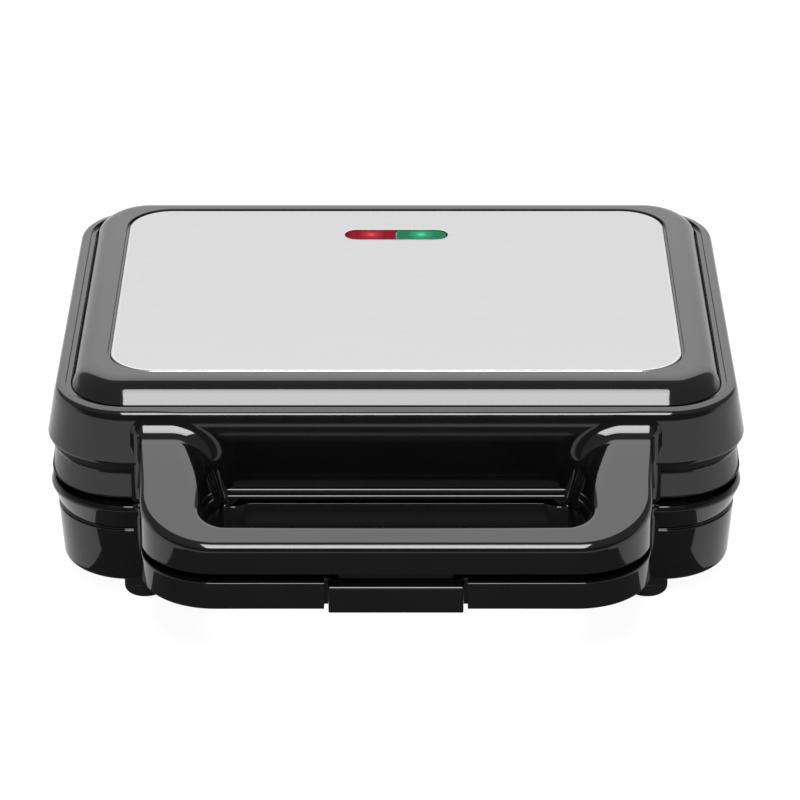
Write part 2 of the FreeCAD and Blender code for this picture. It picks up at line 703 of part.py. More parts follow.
def lens(label, sign):
    """Coloured window held under the deck by its flange."""
    body = new_body(label)
    flange = loops(body, "flange_plan", "XY_Plane", [lens_outline(sign, "lens_flange")],
                   "deck_z - lens_flange_thick")
    pad(body, "flange", flange, "lens_flange_thick")
    column = loops(body, "column_plan", "XY_Plane", [lens_outline(sign, "0")], "deck_z")
    pad(body, "column", column, "top_z - panel_sink + lens_proud - deck_z")
    return body


def lamp_bracket():
    """Shelf under the deck that carries the two lamps."""
    body = new_body("lamp_bracket")
    half, side = "pill_length / 2 + bracket_overhang", "pill_width / 2 + bracket_overhang"
    shelf = rectangle(half, f"pill_y - ({side})", f"pill_y + ({side})")
    pad(body, "shelf", loops(body, "shelf_plan", "XY_Plane", [shelf], "shelf_z - bracket_thick"),
        "bracket_thick")
    right = box_corners(f"{half} - bracket_thick", half, f"pill_y - ({side})", f"pill_y + ({side})")
    ends = loops(body, "end_plan", "XY_Plane", [right, mirrored(right)], "shelf_z")
    pad(body, "ends", ends, "bracket_drop")
    return body


def lamp(label, sign):
    """Neon lamp lying on the shelf under its window."""
    body = new_body(label)
    ring = circles(body, "ring", "YZ_Plane", [("pill_y", "shelf_z + lamp_radius + seat_play")],
                   "lamp_radius", f"{sign}pill_length / 4 - lamp_length / 2")
    pad(body, "glass", ring, "lamp_length")
    fillet(body, "ends", lambda edge: edge.Closed, "lamp_radius / 2")
    return body


def slab(face, sign, near, far):
    """Level and height of the layer between two distances from a face, above it or below it."""
    level = f"{face} + ({near})" if sign > 0 else f"{face} - ({far})"
    return level, f"({far}) - ({near})"


def pocket_outline(sign, draft):
    """A cooking pocket drawn in by its draft: sign is "" on the right and "-" on the left."""
    right = box_corners(f"pocket_in + {draft}", f"pocket_x - {draft}",
                        f"{draft} - pocket_y", f"pocket_y - {draft}", f"pocket_corner - {draft}")
    return right if sign == "" else mirrored(right)


def ridge_outline(sign, width):
    """A strip of this width along the diagonal of a cooking pocket."""
    corners = []
    for along, across in ((1, 1), (-1, 1), (-1, -1), (1, -1)):
        x = (f"pocket_mid + ({along}) * ridge_reach * pocket_half / diagonal"
             f" - ({across}) * {width} / 2 * pocket_y / diagonal")
        y = (f"({along}) * ridge_reach * pocket_y / diagonal"
             f" + ({across}) * {width} / 2 * pocket_half / diagonal")
        corners.append((x, y))
    return corners if sign == "" else mirrored(corners)


def cooking_plate(label, face, sign):
    """Cast plate with two pockets. It extends up from its face with sign 1, down from it with sign -1."""
    body = new_body(label)
    level, height = slab(face, sign, "0", "plate_flange")
    edge = rectangle("half_w - plate_inset", "plate_inset - half_d", "half_d - plate_inset", "plate_corner")
    pad(body, "flange", loops(body, "flange_plan", "XY_Plane", [edge], level), height)
    level, height = slab(face, sign, "plate_flange / 2", "plate_depth")
    block = box_corners("pocket_in - plate_wall", "pocket_x + plate_wall", negative("block_y"), "block_y",
                        "pocket_corner + plate_wall")
    blocks = loops(body, "block_plan", "XY_Plane", [block, mirrored(block)], level)
    pad(body, "blocks", blocks, height)
    level, height = slab(face, sign, "plate_flange / 2", "plate_flange + boss_height")
    bosses = circles(body, "boss_circles", "XY_Plane", four("screw_x", "screw_y"), "boss_radius", level)
    pad(body, "bosses", bosses, height)
    floor = f"{face} + ({sign}) * pocket_depth"
    crest = f"{face} + ({sign}) * (pocket_depth - ridge_height)"
    root = f"{face} + ({sign}) * (pocket_depth + plate_wall / 2)"
    for spot, side in (("right", ""), ("left", "-")):
        mouth = loops(body, f"mouth_{spot}", "XY_Plane", [pocket_outline(side, "0")], face)
        bottom = loops(body, f"bottom_{spot}", "XY_Plane", [pocket_outline(side, "pocket_draft")], floor)
        loft(body, "SubtractiveLoft", f"pocket_{spot}", mouth, bottom)
        low = loops(body, f"ridge_low_{spot}", "XY_Plane", [ridge_outline(side, "ridge_base")], root)
        high = loops(body, f"ridge_high_{spot}", "XY_Plane", [ridge_outline(side, "ridge_crest")], crest)
        loft(body, "AdditiveLoft", f"ridge_{spot}", low, high)
    end = f"{face} + ({sign}) * (plate_flange + boss_height)"
    pilots = circles(body, "pilot_circles", "XY_Plane", four("screw_x", "screw_y"),
                     "screw_radius + thread_play", end)
    pocket(body, "pilots", pilots, "screw_grip + thread_spare", backwards=sign < 0)
    return body


def plate_screws(label, boss, sign):
    """Screws through the posts of a shell into the plate's bosses. Their heads lie on the sign side."""
    body = new_body(label)
    level, height = slab(boss, sign, "screw_seat", "screw_seat + screw_head_height")
    heads = circles(body, "head_circles", "XY_Plane", four("screw_x", "screw_y"), "screw_head_radius", level)
    pad(body, "heads", heads, height)
    level, height = slab(boss, sign, "-screw_grip", "screw_seat + screw_head_height / 2")
    shanks = circles(body, "shank_circles", "XY_Plane", four("screw_x", "screw_y"), "screw_radius", level)
    pad(body, "shanks", shanks, height)
    return body


def heater(label, height):
    """Tubular element in an open loop behind a cooking plate."""
    body = new_body(label)
    half, side, mouth = "heater_width / 2", "heater_depth / 2", "heater_mouth / 2"
    tail = "heater_depth / 2 + heater_tail"
    route = [(mouth, tail), (mouth, side, "heater_bend"), (half, side, "heater_corner"),
             (half, negative(side), "heater_corner"), (negative(half), negative(side), "heater_corner"),
             (negative(half), side, "heater_corner"), (negative(mouth), side, "heater_bend"),
             (negative(mouth), tail)]
    path = track(body, "route", "XY_Plane", route, height)
    ring = circles(body, "ring", "XZ_Plane", [(mouth, height)], "heater_radius", negative(tail))
    sweep(body, "tube", ring, path)
    return body


def reflector(label, floor, sign):
    """Shallow tray behind a heater. Its lip stands on the sign side of its floor."""
    body = new_body(label)
    level, height = slab(floor, sign, "0", "reflector_lip")
    plan = rectangle("tray_x", negative("tray_y"), "tray_y", "reflector_corner")
    pad(body, "tray", loops(body, "plan", "XY_Plane", [plan], level), height)
    inside = rectangle("tray_x - reflector_thick", "reflector_thick - tray_y", "tray_y - reflector_thick",
                       "reflector_corner - reflector_thick")
    start = f"{floor} + ({sign}) * reflector_thick"
    pocket(body, "hollow", loops(body, "hollow_plan", "XY_Plane", [inside], start),
           "reflector_lip - reflector_thick", backwards=sign > 0)
    return body


def base_tub():
    """Lower shell with the lower half of the handle, the catch for the latch and the hinge ears."""
    body = new_body("base_tub")
    plan = loops(body, "handle_plan", "XY_Plane", [handle_plan()], "low_handle_z")
    pad(body, "handle", plan, "low_handle_height")
    fillet(body, "handle_edges", lambda edge: edge.BoundBox.ZLength < 1e-6
           and edge.CenterOfMass.y < value("handle_overlap - half_d") - 1, "low_handle_round")
    opening = finger_opening("grip_low", "grip_low_y", "low_handle_z", body, "grip_plan")
    pocket(body, "grip", opening, "low_handle_height", backwards=True)
    start, end = "low_hollow_start", negative("half_d + channel_end")
    side = "handle_half - wall"
    hollow = [(side, end), ("grip_low + wall", end), ("grip_low + wall", "grip_low_y - wall"),
              (start, "grip_low_y - wall"), (start, "front_y + wall"),
              (side, "front_y + wall", "handle_corner - wall")]
    hollows = loops(body, "hollow_plan", "XY_Plane", [hollow, mirrored(hollow)], "low_handle_z")
    pocket(body, "hollows", hollows, "low_handle_height - low_handle_skin", backwards=True)
    notch = rectangle("notch_half", "front_y - latch_play", "notch_y")
    pocket(body, "notch", loops(body, "notch_plan", "XY_Plane", [notch], "low_handle_z"),
           "low_handle_height", backwards=True)
    ledge = rectangle("notch_half - latch_play - ledge_side_play", "ledge_y", "notch_y + latch_play")
    pad(body, "ledge", loops(body, "ledge_plan", "XY_Plane", [ledge], "ledge_z"), "ledge_thick")

    section = [(inset("rim_inset"), "rim_z", "lip_round"),
               (inset("base_lining"), "rim_z"),
               (inset("base_lining"), "crease_z"),
               (inset("floor_lining"), "floor_z"),
               (inset("ring_width"), "floor_z"),
               (inset("ring_width"), "foot_height"),
               (inset("floor_inset"), "foot_height", "floor_round"),
               (inset("crease_inset - crease_depth"), "crease_z - crease_depth / 2", "crease_round"),
               (inset("crease_inset"), "crease_z", "crease_round"),
               (inset("tier_inset"), "rim_z - tier_drop", "tier_round")]
    sweep(body, "wall", loops(body, "section", "YZ_Plane", [section]), crest_path(body))
    flat_panel(body, "floor", "foot_height", "base_floor")

    gap = "hinge_lid_width / 2 + hinge_side_play"
    for spot, sign in (("right", ""), ("left", "-")):
        for place, start in (("inner", f"{sign}hinge_spread - ({gap}) - hinge_ear_width"),
                             ("outer", f"{sign}hinge_spread + {gap}")):
            web = [(inset("crease_inset"), "crease_z + crease_depth"),
                   (inset("crease_inset"), "rim_z - lip_round"),
                   ("hinge_y", "hinge_z"), ("hinge_y", "hinge_z - hinge_radius")]
            ear = loops(body, f"ear_section_{spot}_{place}", "YZ_Plane", [web], start)
            pad(body, f"ear_{spot}_{place}", ear, "hinge_ear_width")
            knuckle = circles(body, f"knuckle_circle_{spot}_{place}", "YZ_Plane", [("hinge_y", "hinge_z")],
                              "hinge_radius", start)
            pad(body, f"knuckle_{spot}_{place}", knuckle, "hinge_ear_width")
    bore = circles(body, "bore_circle", "YZ_Plane", [("hinge_y", "hinge_z")], "hinge_pin_radius + press_play")
    pocket(body, "bore", bore, "body_width", both_sides=True)

    posts = circles(body, "post_circles", "XY_Plane", four("screw_x", "screw_y"), "post_radius",
                    "floor_z - base_floor / 4")
    pad(body, "posts", posts, "low_boss_z - floor_z + base_floor / 4")
    stands = circles(body, "stand_circles", "XY_Plane", four("reflector_post_x", "reflector_post_y"),
                     "reflector_post_radius", "floor_z - base_floor / 4")
    pad(body, "stands", stands, "low_tray_z - floor_z + base_floor / 4")
    heads = circles(body, "head_circles", "XY_Plane", four("screw_x", "screw_y"),
                    "screw_head_radius + screw_play", "foot_height")
    pocket(body, "head_wells", heads, "low_boss_z - screw_seat - foot_height", backwards=True)
    shanks = circles(body, "shank_circles", "XY_Plane", four("screw_x", "screw_y"),
                     "screw_radius + screw_play", "low_boss_z - screw_seat")
    pocket(body, "shank_holes", shanks, "screw_seat", backwards=True)
    stems = circles(body, "stem_circles", "XY_Plane", four("foot_x", "foot_y"),
                    "foot_stem_radius + pin_play", "foot_height")
    pocket(body, "stem_holes", stems, "base_floor", backwards=True)
    gland = circles(body, "gland_circle", "XZ_Plane", [("0", "gland_z")], "gland_neck_radius + press_play",
                    negative("half_d - ring_width"))
    pocket(body, "gland_hole", gland, "ring_width")
    lead = circles(body, "lead_circle", "XZ_Plane", [("0", "lead_z")], "lead_radius + lead_play",
                   negative("half_d - ring_width"))
    pocket(body, "lead_hole", lead, "ring_width")
    return body


def rod(label, y, z, radius, start, length):
    """Plain pin along x."""
    body = new_body(label)
    ring = circles(body, "ring", "YZ_Plane", [(y, z)], radius, start)
    pad(body, "rod", ring, length)
    return body


def hinge_pin(label, sign):
    """Steel pin pressed into the ears of the base."""
    reach = "hinge_lid_width / 2 + hinge_side_play + hinge_ear_width"
    start = f"{sign}hinge_spread - ({reach})"
    return rod(label, "hinge_y", "hinge_z", "hinge_pin_radius", start, f"2 * ({reach})")


def latch_pin():
    """Steel pin pressed into the ears of the handle cover."""
    reach = "pin_ear_x + pin_ear_width"
    return rod("latch_pin", "pivot_y", "pivot_z", "latch_pin_radius", negative(reach), f"2 * ({reach})")


def latch():
    """Flip latch: a barrel on its pin, an arm, a finger block flush with the handle and a hook."""
    body = new_body("latch")
    block = box_corners("front_y", "block_back_y", "block_low_z", "block_top_z", "latch_round")
    pad(body, "block", loops(body, "block_section", "YZ_Plane", [block]), "latch_width", both_sides=True)
    fillet(body, "block_ends", lambda edge: edge.Length > value("latch_width") / 2
           or abs(edge.CenterOfMass.x) > value("latch_width") / 2 - 1e-6, "latch_round / 2")
    barrel = circles(body, "barrel_ring", "YZ_Plane", [("pivot_y", "pivot_z")], "latch_barrel_radius")
    arm = box_corners("pivot_y - latch_arm_front", "pivot_y + latch_arm_back",
                      "block_top_z - hook_thick", "pivot_z")
    pad(body, "arm", loops(body, "arm_section", "YZ_Plane", [arm]), "latch_arm_width", both_sides=True)
    pad(body, "barrel", barrel, "latch_arm_width", both_sides=True)
    hook = box_corners("block_back_y - hook_length", "hook_y", "block_low_z", "block_low_z + hook_thick",
                       "latch_round / 2")
    pad(body, "hook", loops(body, "hook_section", "YZ_Plane", [hook]),
        "latch_width - 2 * (ledge_side_play + latch_play)", both_sides=True)
    bore = circles(body, "bore_ring", "YZ_Plane", [("pivot_y", "pivot_z")], "latch_pin_radius + pin_play")
    pocket(body, "bore", bore, "latch_width", both_sides=True)
    return body


def handle_cover():
    """Horseshoe plate that closes the hollow upper handle and holds the latch pin."""
    body = new_body("handle_cover")
    band = horseshoe("(wall + cover_play)", "grip_low + wall + cover_play", "grip_low_y - wall - cover_play",
                     negative("half_d + channel_end + cover_play"))
    pad(body, "plate", loops(body, "plan", "XY_Plane", [band], "lid_z"), "handle_cover_thick")
    slot = rectangle("pin_ear_x", "front_y", "pivot_y + latch_barrel_radius + pin_ear_play")
    pocket(body, "slot", loops(body, "slot_plan", "XY_Plane", [slot], "lid_z"),
           "handle_cover_thick", backwards=True)
    right = box_corners("pin_ear_x", "pin_ear_x + pin_ear_width", "pivot_y - pin_ear_radius",
                        "pivot_y + pin_ear_radius")
    ears = loops(body, "ear_plan", "XY_Plane", [right, mirrored(right)], "pivot_z - pin_ear_radius")
    pad(body, "ears", ears, "pin_ear_radius + pin_ear_top")
    bore = circles(body, "bore_ring", "YZ_Plane", [("pivot_y", "pivot_z")], "latch_pin_radius + press_play")
    pocket(body, "bore", bore, "latch_width + 2 * pin_ear_width", both_sides=True)
    heads = circles(body, "head_circles", "XY_Plane", cover_screw_spots(),
                    "cover_screw_head_radius + cover_screw_play", "lid_z")
    pocket(body, "head_wells", heads, "cover_screw_head_height", backwards=True)
    shanks = circles(body, "shank_circles", "XY_Plane", cover_screw_spots(),
                     "cover_screw_radius + cover_screw_play", "lid_z")
    pocket(body, "shank_holes", shanks, "handle_cover_thick", backwards=True)
    return body


def handle_cover_screws():
    """Small screws that hold the handle cover to the bosses in the handle."""
    body = new_body("handle_cover_screws")
    heads = circles(body, "head_circles", "XY_Plane", cover_screw_spots(), "cover_screw_head_radius", "lid_z")
    pad(body, "heads", heads, "cover_screw_head_height")
    shanks = circles(body, "shank_circles", "XY_Plane", cover_screw_spots(), "cover_screw_radius",
                     "lid_z + cover_screw_head_height / 2")
    pad(body, "shanks", shanks,
        "handle_cover_thick + cover_screw_grip - thread_spare - cover_screw_head_height / 2")
    return body


def thermostat():
    """Round bimetal switch on the back of the lower plate, with two terminal tabs."""
    body = new_body("thermostat")
    low = "low_back_z - seat_play - thermostat_height"
    can = circles(body, "can_circle", "XY_Plane", [("thermostat_x", "0")], "thermostat_radius", low)
    pad(body, "can", can, "thermostat_height")
    half = "thermostat_tab / 2"
    tabs = box_corners(f"thermostat_x - {half}", f"thermostat_x + {half}",
                       "-thermostat_radius - thermostat_tab", "thermostat_radius + thermostat_tab")
    pad(body, "tabs", loops(body, "tab_plan", "XY_Plane", [tabs], f"{low} + thermostat_height / 2"),
        "thermostat_tab_thick")
    return body


def thermal_fuse():
    """One-shot fuse in its sleeve, under the other pocket."""
    return rod("thermal_fuse", "0", "low_back_z - fuse_radius - seat_play", "fuse_radius",
               "-fuse_x - fuse_length / 2", "fuse_length")


def terminal_block():
    """Ceramic block on the floor of the base, where the supply and the inner leads meet."""
    body = new_body("terminal_block")
    plan = rectangle("terminal_width / 2", "terminal_y - terminal_depth / 2",
                     "terminal_y + terminal_depth / 2")
    pad(body, "block", loops(body, "plan", "XY_Plane", [plan], "floor_z"), "terminal_height")
    spots = [("terminal_pitch", "terminal_y"), (negative("terminal_pitch"), "terminal_y")]
    wells = circles(body, "well_circles", "XY_Plane", spots, "terminal_screw_radius",
                    "floor_z + terminal_height - terminal_screw_depth")
    pocket(body, "wells", wells, "terminal_screw_depth", backwards=True)
    return body


def cord_gland():
    """Rubber bush in the back wall of the base that a supply cord passes through."""
    body = new_body("cord_gland")
    face = "half_d - crease_inset + crease_depth"
    flange = circles(body, "flange_ring", "XZ_Plane", [("0", "gland_z")], "gland_flange_radius",
                     negative(f"{face} + gland_flange_thick"))
    pad(body, "flange", flange, "gland_flange_thick")
    fillet(body, "edges", lambda edge: edge.CenterOfMass.y > value(face) + value("gland_flange_thick") / 2,
           "gland_flange_thick / 3")
    neck = circles(body, "neck_ring", "XZ_Plane", [("0", "gland_z")], "gland_neck_radius", negative(face))
    pad(body, "neck", neck, "floor_lining")
    bore = circles(body, "bore_ring", "XZ_Plane", [("0", "gland_z")], "gland_bore_radius",
                   negative("half_d - ring_width"))
    pocket(body, "bore", bore, "ring_width + gland_flange_thick")
    return body


def lid_lead():
    """Sleeved lead from the terminal block, out behind the hinge line and up into the lid."""
    body = new_body("lid_lead")
    route = [("terminal_y", "floor_z + terminal_height"), ("terminal_y", "lead_z", "lead_bend"),
             ("lead_back_y", "lead_z", "lead_turn"), ("lead_back_y", "lead_lid_z", "lead_turn"),
             ("terminal_y", "lead_lid_z", "lead_bend"), ("terminal_y", "lead_lid_z + lead_bend + lead_rise")]
    path = track(body, "route", "YZ_Plane", route)
    ring = circles(body, "ring", "XY_Plane", [("0", "terminal_y")], "lead_radius",
                   "floor_z + terminal_height")
    sweep(body, "sleeve", ring, path)
    return body


def foot(label, x, y):
    """Rubber foot with a stem in the floor of the base."""
    body = new_body(label, x, y)
    section = [("0", "0"), ("foot_radius", "0", "foot_round"), ("foot_radius", "foot_height"),
               ("foot_stem_radius", "foot_height"), ("foot_stem_radius", "floor_z"), ("0", "floor_z")]
    revolve(body, "turn", loops(body, "section", "XZ_Plane", [section]))
    return body


def build():
    """Every sub-part of the object."""
    return [
        base_tub(), lid_cover(), steel_panel(), lens("red_lens", "-"), lens("green_lens", ""),
        lamp_bracket(), lamp("red_lamp", "-"), lamp("green_lamp", ""),
        cooking_plate("upper_cooking_plate", "up_plate_z", 1),
        cooking_plate("lower_cooking_plate", "low_plate_z", -1),
        plate_screws("upper_plate_screws", "up_boss_z", 1),
        plate_screws("lower_plate_screws", "low_boss_z", -1),
        heater("upper_heater", "up_heater_z"), heater("lower_heater", "low_heater_z"),
        reflector("upper_reflector", "up_tray_z", -1), reflector("lower_reflector", "low_tray_z", 1),
        hinge_pin("hinge_pin_right", ""), hinge_pin("hinge_pin_left", "-"),
        handle_cover(), handle_cover_screws(), latch(), latch_pin(),
        thermostat(), thermal_fuse(), terminal_block(), cord_gland(), lid_lead(),
        foot("foot_front_left", negative("foot_x"), negative("foot_y")),
        foot("foot_front_right", "foot_x", negative("foot_y")),
        foot("foot_rear_left", negative("foot_x"), "foot_y"),
        foot("foot_rear_right", "foot_x", "foot_y"),
    ]


bodies = build()
doc.recompute()
for item in doc.Objects:
    if "Invalid" in item.State or "Error" in item.State:
        raise RuntimeError(f"{item.Name} failed: {item.State}")
for body in bodies:
    if body.Shape.isNull() or not body.Shape.isValid():
        raise RuntimeError(f"{body.Label} has no valid shape")
os.makedirs("parts", exist_ok=True)
for body in bodies:
    body.Shape.exportStep(f"parts/{body.Label}.step")
    print(body.Label, len(body.Shape.Solids), round(body.Shape.Volume))
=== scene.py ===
# %% [markdown]
# # A closed sandwich maker in gloss black
#
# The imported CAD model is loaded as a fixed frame, and every visible piece is then made around it. Gloss
# black plastic shows nothing but its reflections, so the shells are made as exact surfaces: each is a
# function of two parameters, evaluated on a whole numpy grid at once. Lengths below are in millimetres
# about the middle of the casing, as in the CAD source, and `place` turns them into metres of the frame.

import bmesh
import bpy
import numpy as np
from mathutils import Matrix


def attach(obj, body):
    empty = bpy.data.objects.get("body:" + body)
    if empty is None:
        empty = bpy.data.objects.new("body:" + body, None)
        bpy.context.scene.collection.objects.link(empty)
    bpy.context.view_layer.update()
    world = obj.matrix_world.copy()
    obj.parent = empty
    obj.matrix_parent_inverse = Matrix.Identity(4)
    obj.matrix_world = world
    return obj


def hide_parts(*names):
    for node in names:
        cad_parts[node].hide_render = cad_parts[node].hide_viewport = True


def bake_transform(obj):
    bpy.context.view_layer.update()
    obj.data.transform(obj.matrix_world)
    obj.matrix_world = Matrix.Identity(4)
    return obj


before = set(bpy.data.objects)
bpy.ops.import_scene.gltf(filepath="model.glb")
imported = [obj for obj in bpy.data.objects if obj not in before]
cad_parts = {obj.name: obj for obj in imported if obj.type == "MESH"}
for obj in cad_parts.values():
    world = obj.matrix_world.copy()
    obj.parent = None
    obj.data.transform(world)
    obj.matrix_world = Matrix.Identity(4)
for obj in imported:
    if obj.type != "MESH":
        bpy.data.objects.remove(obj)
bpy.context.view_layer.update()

# %% [markdown]
# ## Sizes
#
# Lengths that several pieces share, named as in the CAD source. An inset is a distance in from the crest
# line, the widest line of the casing, and heights are counted from the table.

# %% Sizes
MM = 0.001
SHIFT_Y = 23.75
HALF_W, HALF_D, CORNER = 131.0, 99.0, 31.0
FOOT_Z, FLOOR_Z, CREASE_Z, SWELL_Z, RIM_Z = 9.0, 11.5, 31.9, 40.6, 42.5
LID_Z, NECK_Z, CREST_Z, SHOULDER_Z, TOP_Z = 45.8, 55.9, 60.9, 80.6, 88.0
DECK_Z, RECESS_Z, PANEL_Z = 84.2, 86.9, 87.95
PANEL_INSET, PANEL_CORNER = 23.5, 17.0
PILL_Y, PILL_HALF, PILL_SIDE = 51.0, 20.0, 4.2
HANDLE_HALF, HANDLE_CORNER, HANDLE_FRONT = 93.0, 28.0, -157.0
GRIP_TOP, GRIP_LOW, GRIP_CORNER = 71.5, 65.0, 9.0
GRIP_TOP_Y, GRIP_LOW_Y, FRONT_WALL_Y = -144.9, -141.0, -98.4
HINGE_Y, HINGE_Z, HINGE_X, HINGE_R = 104.5, 44.15, 78.0, 5.0


def place(points):
    """Casing millimetres to metres in the frame: scaled, then shifted back."""
    out = np.asarray(points, float) * MM
    out[..., 1] += SHIFT_Y * MM
    return out


print("casing", 2 * HALF_W, "by", 2 * HALF_D, "mm, top at", TOP_Z)

# %% [markdown]
# ## Curves
#
# Moulded plastic has no sharp edges. A bevel modifier could round them afterwards, but gloss black would
# show its facets, so the roundings are part of each outline: an arc tangent to both sides of a corner.
# The same function rounds one corner of a profile or the corners of every section of the handle at once,
# because all its inputs are arrays with x, y (and z) last.

# %% Curve functions
def unit(v):
    """Vectors of length one: each divided by its length."""
    return v / np.linalg.norm(v, axis=-1, keepdims=True)


def arc(before, corner, after, radius, count):
    """count points on the arc of this radius between the lines corner-before and corner-after.

    With h half the angle between the two lines, the arc starts radius / tan h from the corner, and its
    middle is radius / sin h from it. Points between its ends turn the first radius into the last."""
    a, b = unit(before - corner), unit(after - corner)
    half = 0.5 * np.arccos(np.clip((a * b).sum(-1, keepdims=True), -1, 1))
    middle = corner + unit(a + b) * radius / np.sin(half)
    first = corner + a * radius / np.tan(half) - middle
    last = corner + b * radius / np.tan(half) - middle
    turn = (np.pi - 2 * half)[..., None, :]
    t = np.linspace(0, 1, count)[:, None]
    swing = np.sin((1 - t) * turn) * first[..., None, :] + np.sin(t * turn) * last[..., None, :]
    return middle[..., None, :] + swing / np.sin(turn)


def run(start, end, count, margin=0.3):
    """count points inside the straight line from start to end, the outer ones a margin from its ends."""
    length = np.linalg.norm(end - start, axis=-1, keepdims=True)[..., None, :]
    near = np.minimum(margin / np.maximum(length, 1e-9), 0.3)
    t = np.linspace(0, 1, count)[:, None]
    return start[..., None, :] + (end - start)[..., None, :] * (near + (1 - 2 * near) * t)


def outline(corners, radii, counts, between, closed=False):
    """A line of corners (..., n, dim) with an arc at each and straight runs of points between them.

    A corner of radius 0 stays sharp; a radius may also be a column with one value for each line."""
    n = corners.shape[-2]
    parts = []
    for k in range(n):
        here = corners[..., k, :]
        if np.all(radii[k] > 0):
            following = corners[..., (k + 1) % n, :]
            parts.append(arc(corners[..., k - 1, :], here, following, radii[k], counts[k]))
        else:
            parts.append(here[..., None, :])
    joined = []
    for k in range(n):
        joined.append(parts[k])
        if k + 1 < n or closed:
            joined.append(run(parts[k][..., -1, :], parts[(k + 1) % n][..., 0, :], between))
    return np.concatenate(joined, axis=-2)


def smooth(x, low, high):
    """0 below low, 1 above high, and the cubic step 3 t^2 - 2 t^3 between."""
    t = np.clip((x - low) / (high - low), 0, 1)
    return t * t * (3 - 2 * t)


# %% [markdown]
# ## Meshes
#
# A surface is a grid of points, rows by columns. Its faces come from index arithmetic, its ends are
# closed by one face each, and a sharp edge is any fold over forty degrees.

# %% Mesh functions
WELD = 1e-7
SHARP = np.radians(40.0)


def grid_faces(rows, columns, start=0, wrap=True):
    """Quads of a grid numbered row by row from start; wrap joins the last column to the first."""
    index = start + np.arange(rows * columns).reshape(rows, columns)
    right = np.roll(index, -1, axis=1)
    if not wrap:
        index, right = index[:, :-1], right[:, :-1]
    return np.stack([index[:-1], right[:-1], right[1:], index[1:]], axis=-1).reshape(-1, 4)


def join_surfaces(surfaces):
    """Points and faces of several surfaces (grid, caps): wrapped grids whose ends are capped or open."""
    points, faces, start = [], [], 0
    for grid, caps in surfaces:
        rows, columns = grid.shape[:2]
        points.append(place(grid).reshape(-1, 3))
        faces += grid_faces(rows, columns, start).tolist()
        if caps:
            faces.append(list(range(start + columns - 1, start - 1, -1)))
            faces.append(list(range(start + (rows - 1) * columns, start + rows * columns)))
        start += rows * columns
    return np.concatenate(points), faces


def make_piece(name, surfaces, material, body, replaces=()):
    """A piece of the object from its surfaces, with doubles merged and faces turned outwards."""
    points, faces = join_surfaces(surfaces)
    mesh = bpy.data.meshes.new(name)
    mesh.from_pydata(points.tolist(), [], faces)
    shape = bmesh.new()
    shape.from_mesh(mesh)
    bmesh.ops.remove_doubles(shape, verts=shape.verts, dist=WELD)
    bmesh.ops.dissolve_degenerate(shape, edges=shape.edges, dist=WELD)
    bmesh.ops.recalc_face_normals(shape, faces=shape.faces)
    shape.to_mesh(mesh)
    shape.free()
    mesh.shade_smooth()
    mesh.set_sharp_from_angle(angle=SHARP)
    mesh.materials.append(material)
    piece = bpy.data.objects.new(name, mesh)
    bpy.context.scene.collection.objects.link(piece)
    if body:
        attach(piece, body)
    if replaces:
        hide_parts(*replaces)
    print(name, len(mesh.vertices), "points", len(mesh.polygons), "faces")
    return piece


# %% [markdown]
# ## Materials
#
# No real surface has one flat colour. Pictures could give it grain, but would need every piece unwrapped.
# A small node tree on object coordinates needs none of that, and its grain keeps its real size on every
# piece. Noise sets the colour, the roughness and a slight bump.

# %% Material functions
GRAIN_LOW, GRAIN_HIGH = 0.3, 0.7


def new_material(name, **values):
    """A node material whose shader sockets get the given constant values."""
    material = bpy.data.materials.new(name)
    material.use_nodes = True
    shader = material.node_tree.nodes["Principled BSDF"]
    for socket, value in values.items():
        shader.inputs[socket.replace("_", " ")].default_value = value
    return material


def add_node(owner, kind, inputs=None, **settings):
    """A node with settings and input values; an input that is a socket is linked."""
    tree = owner.node_tree
    node = tree.nodes.new(kind)
    for key, value in settings.items():
        setattr(node, key, value)
    for key, value in (inputs or {}).items():
        if isinstance(value, bpy.types.NodeSocket):
            tree.links.new(value, node.inputs[key])
        else:
            node.inputs[key].default_value = value
    return node


def feed(material, source, socket):
    """Links a node's output to a socket of the main shader."""
    tree = material.node_tree
    tree.links.new(source, tree.nodes["Principled BSDF"].inputs[socket])


def grain(material, scale, stretch=(1, 1, 1), detail=3.0, rough=0.5):
    """Noise on object coordinates; stretch lengthens it where the number is small."""
    coords = add_node(material, "ShaderNodeTexCoord").outputs["Object"]
    mapping = add_node(material, "ShaderNodeMapping", {"Vector": coords, "Scale": stretch})
    noise = {"Vector": mapping.outputs["Vector"], "Scale": scale, "Detail": detail, "Roughness": rough}
    return add_node(material, "ShaderNodeTexNoise", noise).outputs["Fac"]


def spread(material, source, low, high, socket):
    """Sends a noise to a shader socket as numbers from low to high."""
    ends = {"From Min": GRAIN_LOW, "From Max": GRAIN_HIGH, "To Min": low, "To Max": high}
    node = add_node(material, "ShaderNodeMapRange", {"Value": source, **ends})
    feed(material, node.outputs["Result"], socket)


def tint(material, source, dark, pale):
    """Base colour between two colours, by a noise."""
    ramp = add_node(material, "ShaderNodeValToRGB", {"Fac": source})
    for stop, where, colour in zip(ramp.color_ramp.elements, (GRAIN_LOW, GRAIN_HIGH), (dark, pale)):
        stop.position, stop.color = where, (*colour, 1)
    feed(material, ramp.outputs["Color"], "Base Color")


def bump(material, source, strength, depth):
    """A bump of this depth in metres."""
    values = {"Height": source, "Strength": strength, "Distance": depth}
    feed(material, add_node(material, "ShaderNodeBump", values).outputs["Normal"], "Normal")


# %% [markdown]
# The moulded plastic is nearly black, with a faint ripple of the mould and a little haze. The steel plate
# is brushed along its length. An anisotropic shader could show that, but needs a tangent on every face;
# a fine noise drawn out in x gives the streaks from object coordinates alone.

